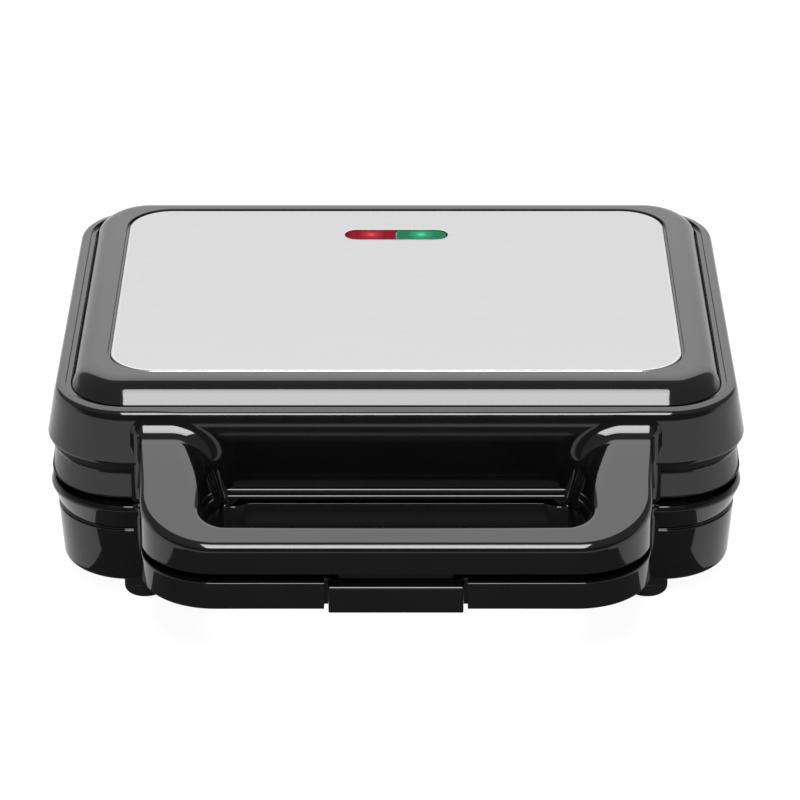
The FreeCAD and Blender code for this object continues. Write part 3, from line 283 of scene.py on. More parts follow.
# %% Finishes
BRUSHED = (0.012, 1, 1)
CLOUD_SCALE, HAZE_SCALE, RIPPLE_SCALE = 60.0, 220.0, 35.0


def grey(value):
    """A neutral colour."""
    return (value,) * 3


def plastic(name, dark, pale, smoothness, haze, ripple):
    """Moulded plastic: two close colours, roughness between two values, and a ripple of the mould."""
    material = new_material(name, IOR=1.5)
    tint(material, grain(material, CLOUD_SCALE), dark, pale)
    spread(material, grain(material, HAZE_SCALE, detail=4.0), smoothness, haze, "Roughness")
    bump(material, grain(material, RIPPLE_SCALE, detail=1.0), 1.0, ripple)
    return material


def metal(name, dark, pale, smoothness, haze, scale, depth, stretch=(1, 1, 1), metallic=1.0):
    """Metal with drawn or cast grain: one noise for colour, roughness and bump."""
    material = new_material(name, Metallic=metallic)
    source = grain(material, scale, stretch, detail=4.0, rough=0.6)
    tint(material, source, dark, pale)
    spread(material, source, smoothness, haze, "Roughness")
    bump(material, source, 0.6, depth)
    return material


gloss = plastic("gloss_black", grey(0.0018), grey(0.0026), 0.05, 0.08, 0.000002)
satin = plastic("inner_black", grey(0.006), grey(0.010), 0.35, 0.45, 0.00002)
rubber = plastic("rubber_black", grey(0.003), grey(0.006), 0.5, 0.65, 0.00003)
ivory = plastic("terminal_ivory", (0.55, 0.52, 0.44), (0.62, 0.59, 0.51), 0.35, 0.5, 0.00003)
sleeve = plastic("lead_sleeve", (0.30, 0.27, 0.20), (0.38, 0.34, 0.26), 0.5, 0.65, 0.0001)
steel = metal("brushed_steel", (0.345, 0.345, 0.348), (0.365, 0.365, 0.368), 0.27, 0.34, 3200.0, 0.000002,
              stretch=BRUSHED)
edge_steel = metal("polished_edge", (0.38, 0.38, 0.383), (0.42, 0.42, 0.423), 0.18, 0.24, 300.0, 0.0000005)
bright = metal("bright_steel", (0.48, 0.47, 0.46), (0.58, 0.57, 0.55), 0.22, 0.34, 300.0, 0.00001)
tube = metal("heater_tube", (0.11, 0.10, 0.09), (0.17, 0.155, 0.14), 0.4, 0.55, 260.0, 0.00003)
tray = metal("reflector_tin", (0.52, 0.53, 0.54), (0.62, 0.63, 0.64), 0.3, 0.42, 160.0, 0.00003)
coating = metal("cooking_coating", (0.018, 0.018, 0.019), (0.045, 0.044, 0.043), 0.3, 0.46, 900.0, 0.00004,
                metallic=0.0)
print("materials", len(bpy.data.materials))

# %% [markdown]
# ## The casing's plan
#
# Seen from above the casing is a rounded rectangle. Its corner arcs share their middles with every line
# inside them, so a point is core + radius * normal: the core runs along the straight sides and waits at
# each corner, while the normal waits on the sides and turns at the corners.

# %% Plan of the casing
def side(start, end, angle, count):
    """Core points and normals along one straight side, closer together towards its ends."""
    t = 0.5 - 0.5 * np.cos(np.pi * np.linspace(0, 1, count, endpoint=False)[:, None])
    return start + (end - start) * t, np.tile([np.cos(angle), np.sin(angle)], (count, 1))


def bend(middle, angle, count):
    """Core points and normals round one corner, a quarter turn from angle."""
    turn = angle + np.linspace(0, np.pi / 2, count, endpoint=False)
    return np.tile(middle, (count, 1)), np.stack([np.cos(turn), np.sin(turn)], axis=-1)


CORE_X, CORE_Y, BEND_STEPS = HALF_W - CORNER, HALF_D - CORNER, 28
plan_corners = np.array([(-1, -1), (1, -1), (1, 1), (-1, 1)]) * [CORE_X, CORE_Y]
walk = []
for k, (steps, degrees) in enumerate(((160, -90), (30, 0), (60, 90), (30, 180))):
    following = plan_corners[(k + 1) % 4]
    walk.append(side(plan_corners[k], following, np.radians(degrees), steps))
    walk.append(bend(following, np.radians(degrees), BEND_STEPS))
CORE, NORMAL = (np.concatenate(parts) for parts in zip(*walk))
PLAN_X, ON_FRONT = CORE[:, 0] + CORNER * NORMAL[:, 0], NORMAL[:, 1] < -0.5
print("plan columns", len(CORE))

# %% [markdown]
# Rows of this plan at different insets and heights make a shell. The steel plate has its own corner
# radius, so its rows keep the plan's columns but scale the core.

# %% Rows of the plan
def raised(flat, height):
    """Flat points with a third coordinate: one height for all, or one for each."""
    height = np.broadcast_to(np.asarray(height, float), flat.shape[:-1])
    return np.concatenate([flat, height[..., None]], axis=-1)


def ring_rows(inset, height):
    """The plan at each inset and height; the insets are (rows, 1) or (rows, columns)."""
    return raised(CORE + (CORNER - inset)[..., None] * NORMAL, height)


def rounded_plan(half_x, half_y, corner, height):
    """One row: a rounded rectangle with its own corner radius, matched column by column to the plan."""
    scale = np.array([(half_x - corner) / CORE_X, (half_y - corner) / CORE_Y])
    return raised(CORE * scale + corner * NORMAL, height)[None]


def plate_row(grow, height):
    """The steel plate's outline, grown or shrunk."""
    half_x, half_y = HALF_W - PANEL_INSET + grow, HALF_D - PANEL_INSET + grow
    return rounded_plan(half_x, half_y, PANEL_CORNER + grow, height)


def front_share(near, far):
    """For each column: 1 across the middle of the front, falling to 0 from near to far off the middle."""
    return np.where(ON_FRONT, 1 - smooth(np.abs(PLAN_X), near, far), 0.0)


print("columns on the front", ON_FRONT.sum())

# %% [markdown]
# ## Lid
#
# The lid is one thin moulding. Blocks joined by booleans could give its shape, but their seams would
# break the reflections, so a single profile is swept round the plan. It runs from the recess of the
# steel plate over the edge of the raised top, across the shoulder, down the sloping wall, under the
# crest, round the lower lip and up the inside. Across the front the groove under the crest runs out into
# a flat wall between the arms of the handle, so there the insets change over to a second profile with
# the same corners.

# %% Lid profiles
TOP_FOOT, GROOVE, GROOVE_DEPTH, FALL = 9.3, 1.9, 0.7, 0.45
WALL_TOP_Z, ROOF_Z, DECK_INSET = 77.3, 78.1, 15.4
ring_profile = np.array([
    (21.0, TOP_Z), (14.3, TOP_Z), (TOP_FOOT, SHOULDER_Z), (TOP_FOOT - 0.1, SHOULDER_Z - GROOVE_DEPTH),
    (TOP_FOOT - GROOVE, SHOULDER_Z - GROOVE_DEPTH), (TOP_FOOT - GROOVE, SHOULDER_Z + FALL),
    (3.8, SHOULDER_Z - FALL), (2.9, WALL_TOP_Z), (0.0, CREST_Z), (2.8, NECK_Z), (1.1, LID_Z),
    (5.9, LID_Z), (6.0, ROOF_Z), (DECK_INSET, ROOF_Z), (DECK_INSET, DECK_Z)])
front_profile = ring_profile.copy()
front_profile[7:11, 0] = (2.15, 0.5, 0.6, 0.6)
LID_COUNTS = [1, 26, 4, 3, 3, 4, 14, 14, 14, 10, 8, 1, 1, 1, 1]
TOP_RADII, LIP_RADII, INSIDE_RADII = [0, 11.5, 0.2, 0.2, 0.2, 0.25], [1.8, 1.2, 0.8], [0, 0, 0, 0]
ring_line = outline(ring_profile, TOP_RADII + [2.2, 12.0] + LIP_RADII + INSIDE_RADII, LID_COUNTS, 6)
front_line = outline(front_profile, TOP_RADII + [1.6, 10.0] + LIP_RADII + INSIDE_RADII, LID_COUNTS, 6)
print("profile points", len(ring_line), len(front_line))

# %% [markdown]
# The recess is a little larger than the plate and lies half a millimetre further back, so the dark seam
# round the plate is wider behind it than in front.

# %% Lid shell
RECESS_BACK, DECK_END, FLAT_HALF, FLAT_END = [0, 0.5, 0], 26.0, 78.0, 90.0
flatness = front_share(FLAT_HALF, FLAT_END)
inset = ring_line[:, :1] + (front_line[:, :1] - ring_line[:, :1]) * flatness
level = ring_line[:, 1:] + (front_line[:, 1:] - ring_line[:, 1:]) * flatness
recess_steps = ((-6.0, RECESS_Z), (0.8, RECESS_Z), (0.8, TOP_Z - 0.3), (0.9, TOP_Z - 0.08),
                (1.1, TOP_Z), (1.6, TOP_Z))
recess = [plate_row(grow, z) + RECESS_BACK for grow, z in recess_steps]
deck = ring_rows(np.array([[DECK_END]]), DECK_Z)
lid_grid = np.concatenate(recess + [ring_rows(inset, level), deck])
make_piece("lid_shell", [(lid_grid, True)], gloss, "lid", ["lid_cover"])

# %% [markdown]
# ## Handle
#
# The loop handle is split between lid and base. A curve with a bevel object could carry a section round
# it, but only one that keeps its shape, and here it changes. So both halves are sections that follow a
# U: out along one arm, round the corner, across the bar and home again. The outer and inner edges are
# paths with the same number of steps, and each section is drawn between them. The arms flare a little
# towards the wall of the casing.

# %% Handle paths
FILLET, FILLET_STEPS, BURIED = 6.6, 28, -4.0
FLARE, FLARE_REACH = 1.5, 30.0
ROOT = np.concatenate([[BURIED], FILLET * (1 - np.cos(np.linspace(0, np.pi / 2, FILLET_STEPS)))])


def u_path(half, front, corner, bar):
    """Plan of one edge of the handle: arm, corner, bar, corner, arm. bar holds x as shares of the bar."""
    corner_y = front + corner
    root = FRONT_WALL_Y - ROOT
    arm = np.concatenate([root[:-1], np.linspace(root[-1], corner_y, 20, endpoint=False)])
    turn = np.radians(np.linspace(180, 270, 30, endpoint=False))
    left_arm = np.stack([np.full(arm.shape, -half), arm], axis=-1)
    bend_x, bend_y = -half + corner + corner * np.cos(turn), corner_y + corner * np.sin(turn)
    middle = np.stack([bar * (half - corner), np.full(bar.shape, front)], axis=-1)
    left = np.concatenate([left_arm, np.stack([bend_x, bend_y], axis=-1)])
    return np.concatenate([left, middle, left[::-1] * [-1, 1]])


def from_wall(path):
    """Distance of each point of a path from the front wall."""
    return FRONT_WALL_Y - path[:, 1]


def flared(path):
    """The path with its arms moved outwards by a smooth step towards the wall."""
    lean = FLARE * np.sign(path[:, 0]) * (1 - smooth(from_wall(path), 0.0, FLARE_REACH))
    return path + np.stack([lean, np.zeros(len(path))], axis=-1)


def toward(path, other, distance):
    """The path moved this far towards another."""
    return path + unit(other - path) * distance


print("rows of an arm inside its fillet", len(ROOT))

# %% [markdown]
# The arms run into the front wall with a concave fillet. A boolean with a bevel on its seam could make
# one, but the seam crosses rounded faces, where bevels fail easily. So the section itself swells: at a
# distance d from the wall it is pushed out by R - sqrt(R^2 - (R - d)^2). The rows stand closer together
# near the wall, so that they are even round the arc, and the last row is inside the wall.

# %% Fillet at the root
def fillet_radius(out, up, outer, upper, inner, lower):
    """The fillet's radius, blended by the squares of how far a point faces out, in, up and down."""
    return (outer * np.clip(out, 0, 1) ** 2 + inner * np.clip(-out, 0, 1) ** 2
            + upper * np.clip(up, 0, 1) ** 2 + lower * np.clip(-up, 0, 1) ** 2)


def root_fillet(grid, wall_y, skin, *radii):
    """Swells the sections of both arms near the wall, and leans them with it.

    skin is how many columns are on the outside; the radii are for faces that look out, up, in and down.
    A point faces at right angles to the line between its two neighbours in the section."""
    moved = grid.copy()
    gap = np.clip(ROOT, 0, None)[:, None]
    for rows in (slice(0, len(ROOT)), slice(-1, -len(ROOT) - 1, -1)):
        arm = grid[rows]
        sign = np.sign(arm[..., 0].mean())
        along = np.roll(arm, -1, axis=1) - np.roll(arm, 1, axis=1)
        facing = sign * unit(np.stack([along[..., 2], -along[..., 0]], axis=-1))
        radius = fillet_radius(sign * facing[..., 0], facing[..., 1], *radii)
        radius[:, skin:] = 0.0
        facing[:, skin:] = 0.0
        push = radius - np.sqrt(np.clip(radius ** 2 - np.clip(radius - gap, 0, None) ** 2, 0, None))
        moved[rows, :, 0] += push * facing[..., 0]
        moved[rows, :, 2] += push * facing[..., 1]
        lean = wall_y(moved[rows, :, 2]) - FRONT_WALL_Y
        moved[rows, :, 1] += lean * (1 - smooth(gap, 0.0, FILLET))
    return moved


# %% [markdown]
# The upper half slopes down to the front. Its outer edge gets rounder towards the front and its inner
# edge rounder towards the wall. Its underside is hollow, with a ledge for the cover plate.

# %% Upper handle section
WALL, BED_Z, HOLLOW_Z = 2.5, LID_Z + 2.2, LID_Z + 9.2
TOP_FRONT, TOP_ROOT = 57.1, 73.4
ROUND_AT, ROUND_OUT = [0.0, 11.0, 29.0, 36.0, 48.0, 58.6], [1.4, 1.6, 2.0, 2.4, 3.2, 3.7]
ROUND_IN, ROUND_IN_ROOT, LIP_ROUND = 3.7, 11.0, 0.8


def handle_top(path):
    """Height of the sloping top: a straight line from the front to the wall."""
    slope = (TOP_ROOT - TOP_FRONT) / (FRONT_WALL_Y - HANDLE_FRONT)
    return TOP_FRONT + (path[:, 1] - HANDLE_FRONT) * slope


bar = np.linspace(-1, 1, 90)
outer = flared(u_path(HANDLE_HALF, HANDLE_FRONT, HANDLE_CORNER, bar))
inner_top = u_path(GRIP_TOP, GRIP_TOP_Y, GRIP_CORNER, bar)
inner_low = u_path(GRIP_LOW, GRIP_LOW_Y, GRIP_CORNER, bar)
outer_round = np.interp(from_wall(outer), ROUND_AT, ROUND_OUT)[:, None]
inner_round = (ROUND_IN + ROUND_IN_ROOT * (1 - smooth(from_wall(inner_top), 1.0, 34.0)))[:, None]
lip_in, roof_in = toward(inner_low, outer, WALL), toward(inner_top, outer, WALL)
lip_out = toward(outer, inner_top, WALL)
upper_section = np.stack([
    raised(outer, LID_Z), raised(outer, handle_top(outer)), raised(inner_top, handle_top(inner_top)),
    raised(inner_low, LID_Z), raised(lip_in, LID_Z), raised(lip_in, BED_Z), raised(roof_in, BED_Z),
    raised(roof_in, HOLLOW_Z), raised(lip_out, HOLLOW_Z), raised(lip_out, LID_Z)], axis=1)
print("sections of the upper handle", len(upper_section))

# %% Upper handle
UPPER_COUNTS, UPPER_BETWEEN = [6, 16, 24, 6, 1, 1, 1, 1, 1, 1], 5
SKIN = sum(UPPER_COUNTS[:4]) + 3 * UPPER_BETWEEN
UPPER_FILLETS = (3.6, 4.5, FILLET, 0.0)


def lid_wall_y(z):
    """The front wall of the lid at a height, read from its profile between shoulder and lower lip."""
    wall = front_line[(front_line[:, 0] < 3.8) & (front_line[:, 1] > LID_Z + 0.4)][::-1]
    return np.interp(z, wall[:, 1], wall[:, 0]) - HALF_D


upper_radii = [LIP_ROUND, outer_round, inner_round, LIP_ROUND, 0, 0, 0, 0, 0, 0]
upper_grid = outline(upper_section, upper_radii, UPPER_COUNTS, UPPER_BETWEEN, closed=True)
upper_grid = root_fillet(upper_grid, lid_wall_y, SKIN, *UPPER_FILLETS)
make_piece("upper_handle", [(upper_grid, True)], gloss, "lid")

# %% [markdown]
# ## Base
#
# The base is the lower moulding, which stands on the feet. It is another profile round the same plan: a
# flat floor, a leaning lower wall, a crease, the swelling upper band and the rim, then down the inside.
# Behind the grip the band draws in. Booleans could cut the screw wells into the floor; lifting the points
# close to each well's middle leaves the grid whole.

# %% Base shell
BASE_RADII = [0, 3.0, 0.35, 0.35, 1.4, 0.6, 0.4, 0, 0, 0]
BASE_COUNTS = [1, 10, 5, 5, 14, 8, 5, 1, 1, 1]
FLOOR_INSET, DRAW_IN, DRAW_HALF, DRAW_END = 20.0, 3.0, 55.0, 60.0
WELL_X, WELL_Y, WELL_DEPTH, WELL_R, WELL_RIM = 98.0, 70.0, 5.0, 2.6, 3.6
base_profile = np.array([
    (FLOOR_INSET, FOOT_Z), (4.6, FOOT_Z), (3.0, CREASE_Z - 0.45), (3.9, CREASE_Z), (0.5, SWELL_Z),
    (1.6, RIM_Z), (6.2, RIM_Z), (6.2, CREASE_Z), (7.4, FLOOR_Z), (26.0, FLOOR_Z)])
base_line = outline(base_profile, BASE_RADII, BASE_COUNTS, 6)
floor_half = np.array([HALF_W - FLOOR_INSET, HALF_D - FLOOR_INSET, CORNER - FLOOR_INSET])
under = np.concatenate([rounded_plan(*(floor_half * f), FOOT_Z) for f in np.linspace(0.02, 1, 46)[:-1]])
wells = np.array([(x, y) for x in (-WELL_X, WELL_X) for y in (-WELL_Y, WELL_Y)])
to_well = np.linalg.norm(under[..., None, :2] - wells, axis=-1).min(-1)
under[..., 2] += WELL_DEPTH * (1 - smooth(to_well, WELL_R, WELL_RIM))
rising = smooth(base_line[:, 1:], CREASE_Z, SWELL_Z) * (base_line[:, :1] < 5.0)
draw_in = DRAW_IN * front_share(DRAW_HALF, DRAW_END) * rising
base_grid = np.concatenate([under, ring_rows(base_line[:, :1] + draw_in, base_line[:, 1:])])
make_piece("base_shell", [(base_grid, True)], gloss, "base", ["base_tub"])

# %% [markdown]
# The lower half of the handle is a flat band with a notch for the latch. The outer edge simply steps
# back there, in two steps, so that little light comes through beside the latch. Under each arm a gusset
# runs down to the lower wall of the base: the band's underside drops by a smooth step towards the wall.

# %% Lower handle edges
NOTCH_HALF, CHEEK_HALF, CHEEK_Y, NOTCH_Y, STEP = 25.8, 24.42, -153.3, -144.5, 0.01
LOW_Z, GUSSET, GUSSET_REACH, LOWER_FILLETS = 31.9, 15.0, 40.0, (3.5, 0.0, 3.5, 3.5)
BAR_HALF, GRIP_HALF = HANDLE_HALF - HANDLE_CORNER, GRIP_LOW - GRIP_CORNER
half_bar = np.concatenate([np.linspace(0, CHEEK_HALF - STEP, 16),
                           np.linspace(CHEEK_HALF + STEP, NOTCH_HALF - STEP, 3),
                           np.linspace(NOTCH_HALF + STEP, BAR_HALF, 30)])
bar_x = np.concatenate([-half_bar[:0:-1], half_bar])
low_outer = flared(u_path(HANDLE_HALF, HANDLE_FRONT, HANDLE_CORNER, bar_x / BAR_HALF))
on_bar = np.abs(low_outer[:, 1] - HANDLE_FRONT) < 1e-6
in_notch = np.where(np.abs(bar_x) > CHEEK_HALF, CHEEK_Y, NOTCH_Y)
low_outer[on_bar, 1] = np.where(np.abs(bar_x) > NOTCH_HALF, HANDLE_FRONT, in_notch)
inner_x = np.interp(bar_x, [-BAR_HALF, -NOTCH_HALF, NOTCH_HALF, BAR_HALF],
                    [-GRIP_HALF, -NOTCH_HALF, NOTCH_HALF, GRIP_HALF])
low_inner = u_path(GRIP_LOW, GRIP_LOW_Y, GRIP_CORNER, inner_x / GRIP_HALF)
print("points along the lower bar", len(bar_x))

# %% Lower handle
def underside(path):
    """Height of the band's underside, lower towards the wall by the gusset."""
    return LOW_Z - GUSSET * (1 - smooth(from_wall(path), 0.0, GUSSET_REACH))


def base_wall_y(z):
    """The front wall of the base at a height, read from its profile between foot and rim."""
    return np.interp(z, base_profile[1:6, 1], base_profile[1:6, 0]) - HALF_D


lower_section = np.stack([raised(low_outer, underside(low_outer)), raised(low_outer, RIM_Z),
                          raised(low_inner, RIM_Z), raised(low_inner, underside(low_inner))], axis=1)
lower_grid = outline(lower_section, [0.4] * 4, [8] * 4, 5, closed=True)
lower_grid = root_fillet(lower_grid, base_wall_y, lower_grid.shape[1], *LOWER_FILLETS)
make_piece("lower_handle", [(lower_grid, True)], gloss, "base")

# %% [markdown]
# ## Steel plate and lamp windows
#
# A brushed plate lies in the raised top. A boolean could cut its window, but would leave long thin faces
# round it. So the plate is a sheet between two closed lines, its outline and the pill-shaped window,
# lofted into each other. Its rounded edge is polished and not brushed, so it is a narrow piece of its own
# with its own finish, and catches the light along the front.

# %% Steel plate
EDGE, SEAM, BED = 1.0, 1.25, RECESS_Z + 0.05


def pill_row(margin, height, columns):
    """The pill round both lamp windows, matched to the plan by each column's direction from its middle.

    A ray from the middle meets the flat side at side / sin, or the round end where the end's circle
    does: straight * cos + sqrt(side^2 - (straight * sin)^2)."""
    angle = np.arctan2(columns[:, 1], columns[:, 0])
    c, s = np.cos(angle), np.sin(angle)
    side_y = PILL_SIDE + margin
    straight = PILL_HALF + margin - side_y
    t_flat = side_y / np.maximum(np.abs(s), 1e-9)
    t_end = straight * np.abs(c) + np.sqrt(np.clip(side_y ** 2 - (straight * s) ** 2, 0, None))
    t = np.where(np.abs(t_flat * c) <= straight, t_flat, t_end)
    return np.stack([t * c, PILL_Y + t * s, np.full(t.shape, float(height))], axis=-1)[None]


rim = [plate_row(0.0, BED)]
rim += [plate_row(np.cos(a) * EDGE - EDGE, PANEL_Z + np.sin(a) * EDGE - EDGE)
        for a in np.linspace(0, np.pi / 2, 8)]
seam_top, seam_low = plate_row(-SEAM, PANEL_Z), plate_row(-SEAM, BED)
edge_grid = np.concatenate(rim + [seam_top, seam_low, rim[0]])
make_piece("plate_edge", [(edge_grid, False)], edge_steel, "lid")
aim = plate_row(0.0, 0.0)[0, :, :2] - [0, PILL_Y]
window_steps = ((2.0, PANEL_Z), (0.9, PANEL_Z), (0.65, PANEL_Z - 0.05), (0.6, PANEL_Z - 0.2), (0.6, BED))
window = [pill_row(margin, z, aim) for margin, z in window_steps]
sheet = seam_top + (window[0] - seam_top) * np.linspace(0, 1, 14)[1:-1, None, None]
plate_grid = np.concatenate([seam_low, seam_top, sheet] + window + [seam_low])
make_piece("steel_plate", [(plate_grid, False)], steel, "lid", ["steel_panel"])

# %% [markdown]
# Each lamp window is half of the pill, slightly domed. A lit lamp behind clear plastic would need many
# light paths; a glow that falls off with the distance from the lamp's spot gives the same look at once.

# %% Lamp window material
GLOW_NEAR, GLOW_FAR, GLOW_STOP, GLOW_SHARE = 0.0005, 0.0055, 0.35, 0.3


def window_material(name, dark, lit, glow, spot):
    """Coloured plastic over a lamp: colour and glow fall off with the distance from the lamp's spot."""
    material = new_material(name, IOR=1.49, Roughness=0.12, Emission_Strength=1.0, Specular_IOR_Level=0.0)
    coords = add_node(material, "ShaderNodeTexCoord").outputs["Object"]
    away = add_node(material, "ShaderNodeVectorMath", {0: coords, 1: spot}, operation="DISTANCE")
    share = add_node(material, "ShaderNodeMapRange", {"Value": away.outputs["Value"],
                                                      "From Min": GLOW_NEAR, "From Max": GLOW_FAR})
    for socket, near, far in (("Base Color", lit, dark), ("Emission Color", glow, grey(0.0))):
        ramp = add_node(material, "ShaderNodeValToRGB", {"Fac": share.outputs["Result"]})
        stops = ramp.color_ramp.elements
        stops[0].color, stops[1].color = (*near, 1), (*far, 1)
        part_way = GLOW_SHARE * np.array(near) + (1 - GLOW_SHARE) * np.array(far)
        stops.new(GLOW_STOP).color = (*part_way, 1)
        feed(material, ramp.outputs["Color"], socket)
    return material


# %% Lamp windows
LENS_MIDDLE, LENS_GAP, LENS_END = 10.0, 0.25, 4.15
LENS_SHARE = np.array([1, 1, 0.992, 0.97, 0.9, 0.75, 0.5, 0.25, 0.05])[:, None]
LENS_RISE = np.array([RECESS_Z, 87.62, 87.78, 87.86, 87.91, 87.95, 87.98, 88.0, 88.0])[:, None]
GLASS = {"red": (-1, (0.188, 0.009, 0.017), (0.22, 0.012, 0.02), (0.48, 0.07, 0.09)),
         "green": (1, (0.018, 0.137, 0.063), (0.02, 0.19, 0.10), (0.06, 0.44, 0.22))}
lens_corners = np.array([(LENS_GAP, -PILL_SIDE), (PILL_HALF, -PILL_SIDE), (PILL_HALF, PILL_SIDE),
                         (LENS_GAP, PILL_SIDE)])
lens_flat = outline(lens_corners, [LENS_GAP, LENS_END, LENS_END, LENS_GAP], [5, 16, 16, 5], 6, closed=True)
lens_flat = lens_flat - [LENS_MIDDLE, 0]
for name, (sign, *colours) in GLASS.items():
    spot = (sign * LENS_MIDDLE * MM, (PILL_Y + SHIFT_Y) * MM, TOP_Z * MM)
    glass = window_material(f"{name}_window", *colours, spot)
    lens_x = sign * (LENS_MIDDLE + LENS_SHARE * lens_flat[:, 0])
    lens_y = PILL_Y + LENS_SHARE * lens_flat[:, 1]
    lens_grid = np.stack(np.broadcast_arrays(lens_x, lens_y, LENS_RISE), axis=-1)
    make_piece(f"{name}_window", [(lens_grid, True)], glass, "lid", [f"{name}_lens"])

# %% [markdown]
# ## Small mouldings
#
# Latch, ledge, hinges and ribs are small mouldings with rounded edges. Bevelled cubes would do for some
# of them, but one function does for all: a closed outline swept along a straight line, drawn in a little
# at both ends so that the ends are rounded too.

# %% Prisms
ACROSS = (1, 2, 0)


def closed_normals(flat):
    """Outward normals of a closed outline that runs counter-clockwise."""
    along = np.roll(flat, -1, axis=0) - np.roll(flat, 1, axis=0)
    return unit(np.stack([along[:, 1], -along[:, 0]], axis=-1))


def prism(flat, start, end, radius, axes=ACROSS, steps=6):
    """An outline swept from start to end with ends rounded to the radius.

    axes says which of x, y, z the outline's two coordinates and the sweep are. Over a quarter turn a,
    the outline is drawn in by radius * (1 - sin a) and moves on by radius * (1 - cos a)."""
    turn = np.linspace(0, np.pi / 2, steps)
    draw = np.concatenate([radius * (1 - np.sin(turn)), radius * (1 - np.sin(turn[::-1]))])
    along = np.concatenate([start + radius * (1 - np.cos(turn)), end - radius * (1 - np.cos(turn[::-1]))])
    rows = flat - closed_normals(flat) * draw[:, None, None]
    grid = np.empty(rows.shape[:2] + (3,))
    grid[..., axes[0]], grid[..., axes[1]] = rows[..., 0], rows[..., 1]
    grid[..., axes[2]] = along[:, None]
    return grid


def block_outline(low, high, radius, count=8, between=4):
    """A rounded rectangle, counter-clockwise, from its lowest and highest corners."""
    corners = np.array([low, (high[0], low[1]), high, (low[0], high[1])], float)
    return outline(corners, [radius] * 4, [count] * 4, between, closed=True)


def circle(y, z, radius, angle):
    """Points (y, z) of a circle at these angles: middle + radius * (cos, sin)."""
    return np.stack([y + radius * np.cos(angle), z + radius * np.sin(angle)], axis=-1)


# %% [markdown]
# A bead stiffens the front wall of the lid: a low pill with a raised rim all round, so it shows as a
# closed bright line. A ledge in the notch of the lower handle catches the latch.

# %% Bead and catch
BEAD_HALF, BEAD_LOW, BEAD_HIGH, BEAD_END, BEAD_RIM, BEAD_PROUD = 64.3, 46.6, 50.8, 2.09, 0.8, 0.4
LEDGE_HALF = 21.3
bead_flat = block_outline((-BEAD_HALF, BEAD_LOW), (BEAD_HALF, BEAD_HIGH), BEAD_END, 16, 40)
rim_turn = np.linspace(0, np.pi, 13)
bead_draw = np.concatenate([[0.0], BEAD_RIM - BEAD_RIM * np.cos(rim_turn), [1.7]])
bead_out = np.concatenate([[1.2], -BEAD_PROUD - BEAD_RIM * np.sin(rim_turn), [-0.3]])
bead = (bead_flat - closed_normals(bead_flat) * bead_draw[:, None, None])[..., [0, 0, 1]]
bead[..., 1] = FRONT_WALL_Y + bead_out[:, None]
make_piece("lid_bead", [(bead, True)], gloss, "lid")
ledge = prism(block_outline((-149.0, 33.3), (-143.0, 35.3), 0.4), -LEDGE_HALF, LEDGE_HALF, 0.4)
make_piece("catch_ledge", [(ledge, True)], gloss, "base")

# %% [markdown]
# ## Latch
#
# The latch is a finger block, an arm up to a barrel on the pin, and a hook behind the foot of the block.
# On the real latch they are one moulding. A boolean could join them, but four prisms across the handle
# that overlap inside one mesh look the same.

# %% Latch
PIVOT_Y, PIVOT_Z, BARREL_R = -151.6, 46.5, 2.4
BLOCK_HALF, ARM_HALF, HOOK_HALF = 24.3, 20.6, 19.8
barrel_flat = circle(PIVOT_Y, PIVOT_Z, BARREL_R, np.linspace(0, 2 * np.pi, 40, endpoint=False))
block = prism(block_outline((HANDLE_FRONT, 30.1), (-151.1, 40.9), 0.9), -BLOCK_HALF, BLOCK_HALF, 0.5)
arm = prism(block_outline((PIVOT_Y - 1.6, 39.3), (PIVOT_Y + 0.8, 46.0), 0.2), -ARM_HALF, ARM_HALF, 0.2)
barrel = prism(barrel_flat, -ARM_HALF, ARM_HALF, 0.3)
hook = prism(block_outline((-152.8, 30.7), (-149.4, 32.3), 0.4), -HOOK_HALF, HOOK_HALF, 0.3)
latch_parts = [(part, True) for part in (block, arm, barrel, hook)]
make_piece("latch_block", latch_parts, gloss, "latch", ["latch"])

# %% [markdown]
# ## Hinges
#
# Each hinge has a lug on the lid between two ears on the base. A knuckle is the outline of a web that
# runs into a circle round the pin, with a bore. The bore needs no boolean: it has as many points as the
# outline, so the rows close into a ring.

# %% Hinges
BORE_R, LUG_HALF, GAP, EAR = 2.06, 8.0, 8.3, 4.7
LUG_WEB = ((94.5, 46.6), (94.5, 55.1), -193.7, 90.0)
EAR_WEB = ((95.2, 32.8), (95.2, 41.7), -90.0, 194.6)


def knuckle(first, last, start_angle, end_angle, x_start, x_end):
    """A knuckle from the wall points first and last, round the pin from one angle to the other."""
    round_part = circle(HINGE_Y, HINGE_Z, HINGE_R, np.radians(np.linspace(start_angle, end_angle, 40)))
    first, last = np.array(first), np.array(last)
    flat = np.concatenate([run(first, round_part[0], 8), round_part, run(round_part[-1], last, 8),
                           run(last, first, 8)])
    bore = circle(HINGE_Y, HINGE_Z, BORE_R, np.arctan2(flat[:, 1] - HINGE_Z, flat[:, 0] - HINGE_Y))
    skin = prism(flat, x_start, x_end, 0.5)
    hole = np.stack([raised(bore, x)[:, [2, 0, 1]] for x in (x_end, x_start)])
    return np.concatenate([skin, hole, skin[:1]]), False


lugs = [knuckle(*LUG_WEB, x - LUG_HALF, x + LUG_HALF) for x in (-HINGE_X, HINGE_X)]
make_piece("hinge_lugs", lugs, gloss, "lid")
ear_starts = [x + start for x in (-HINGE_X, HINGE_X) for start in (-GAP - EAR, GAP)]
ears = [knuckle(*EAR_WEB, start, start + EAR) for start in ear_starts]
make_piece("hinge_ears", ears, gloss, "base")

# %% [markdown]
# ## Feet and cord gland
#
# Rubber feet keep the casing from sliding, and a rubber bush lines the hole for the cord. A screw
# modifier could turn them; a profile of radius and height times cosines and sines does it in one array.
# A fine groove runs round each foot, and its sole is hollowed.

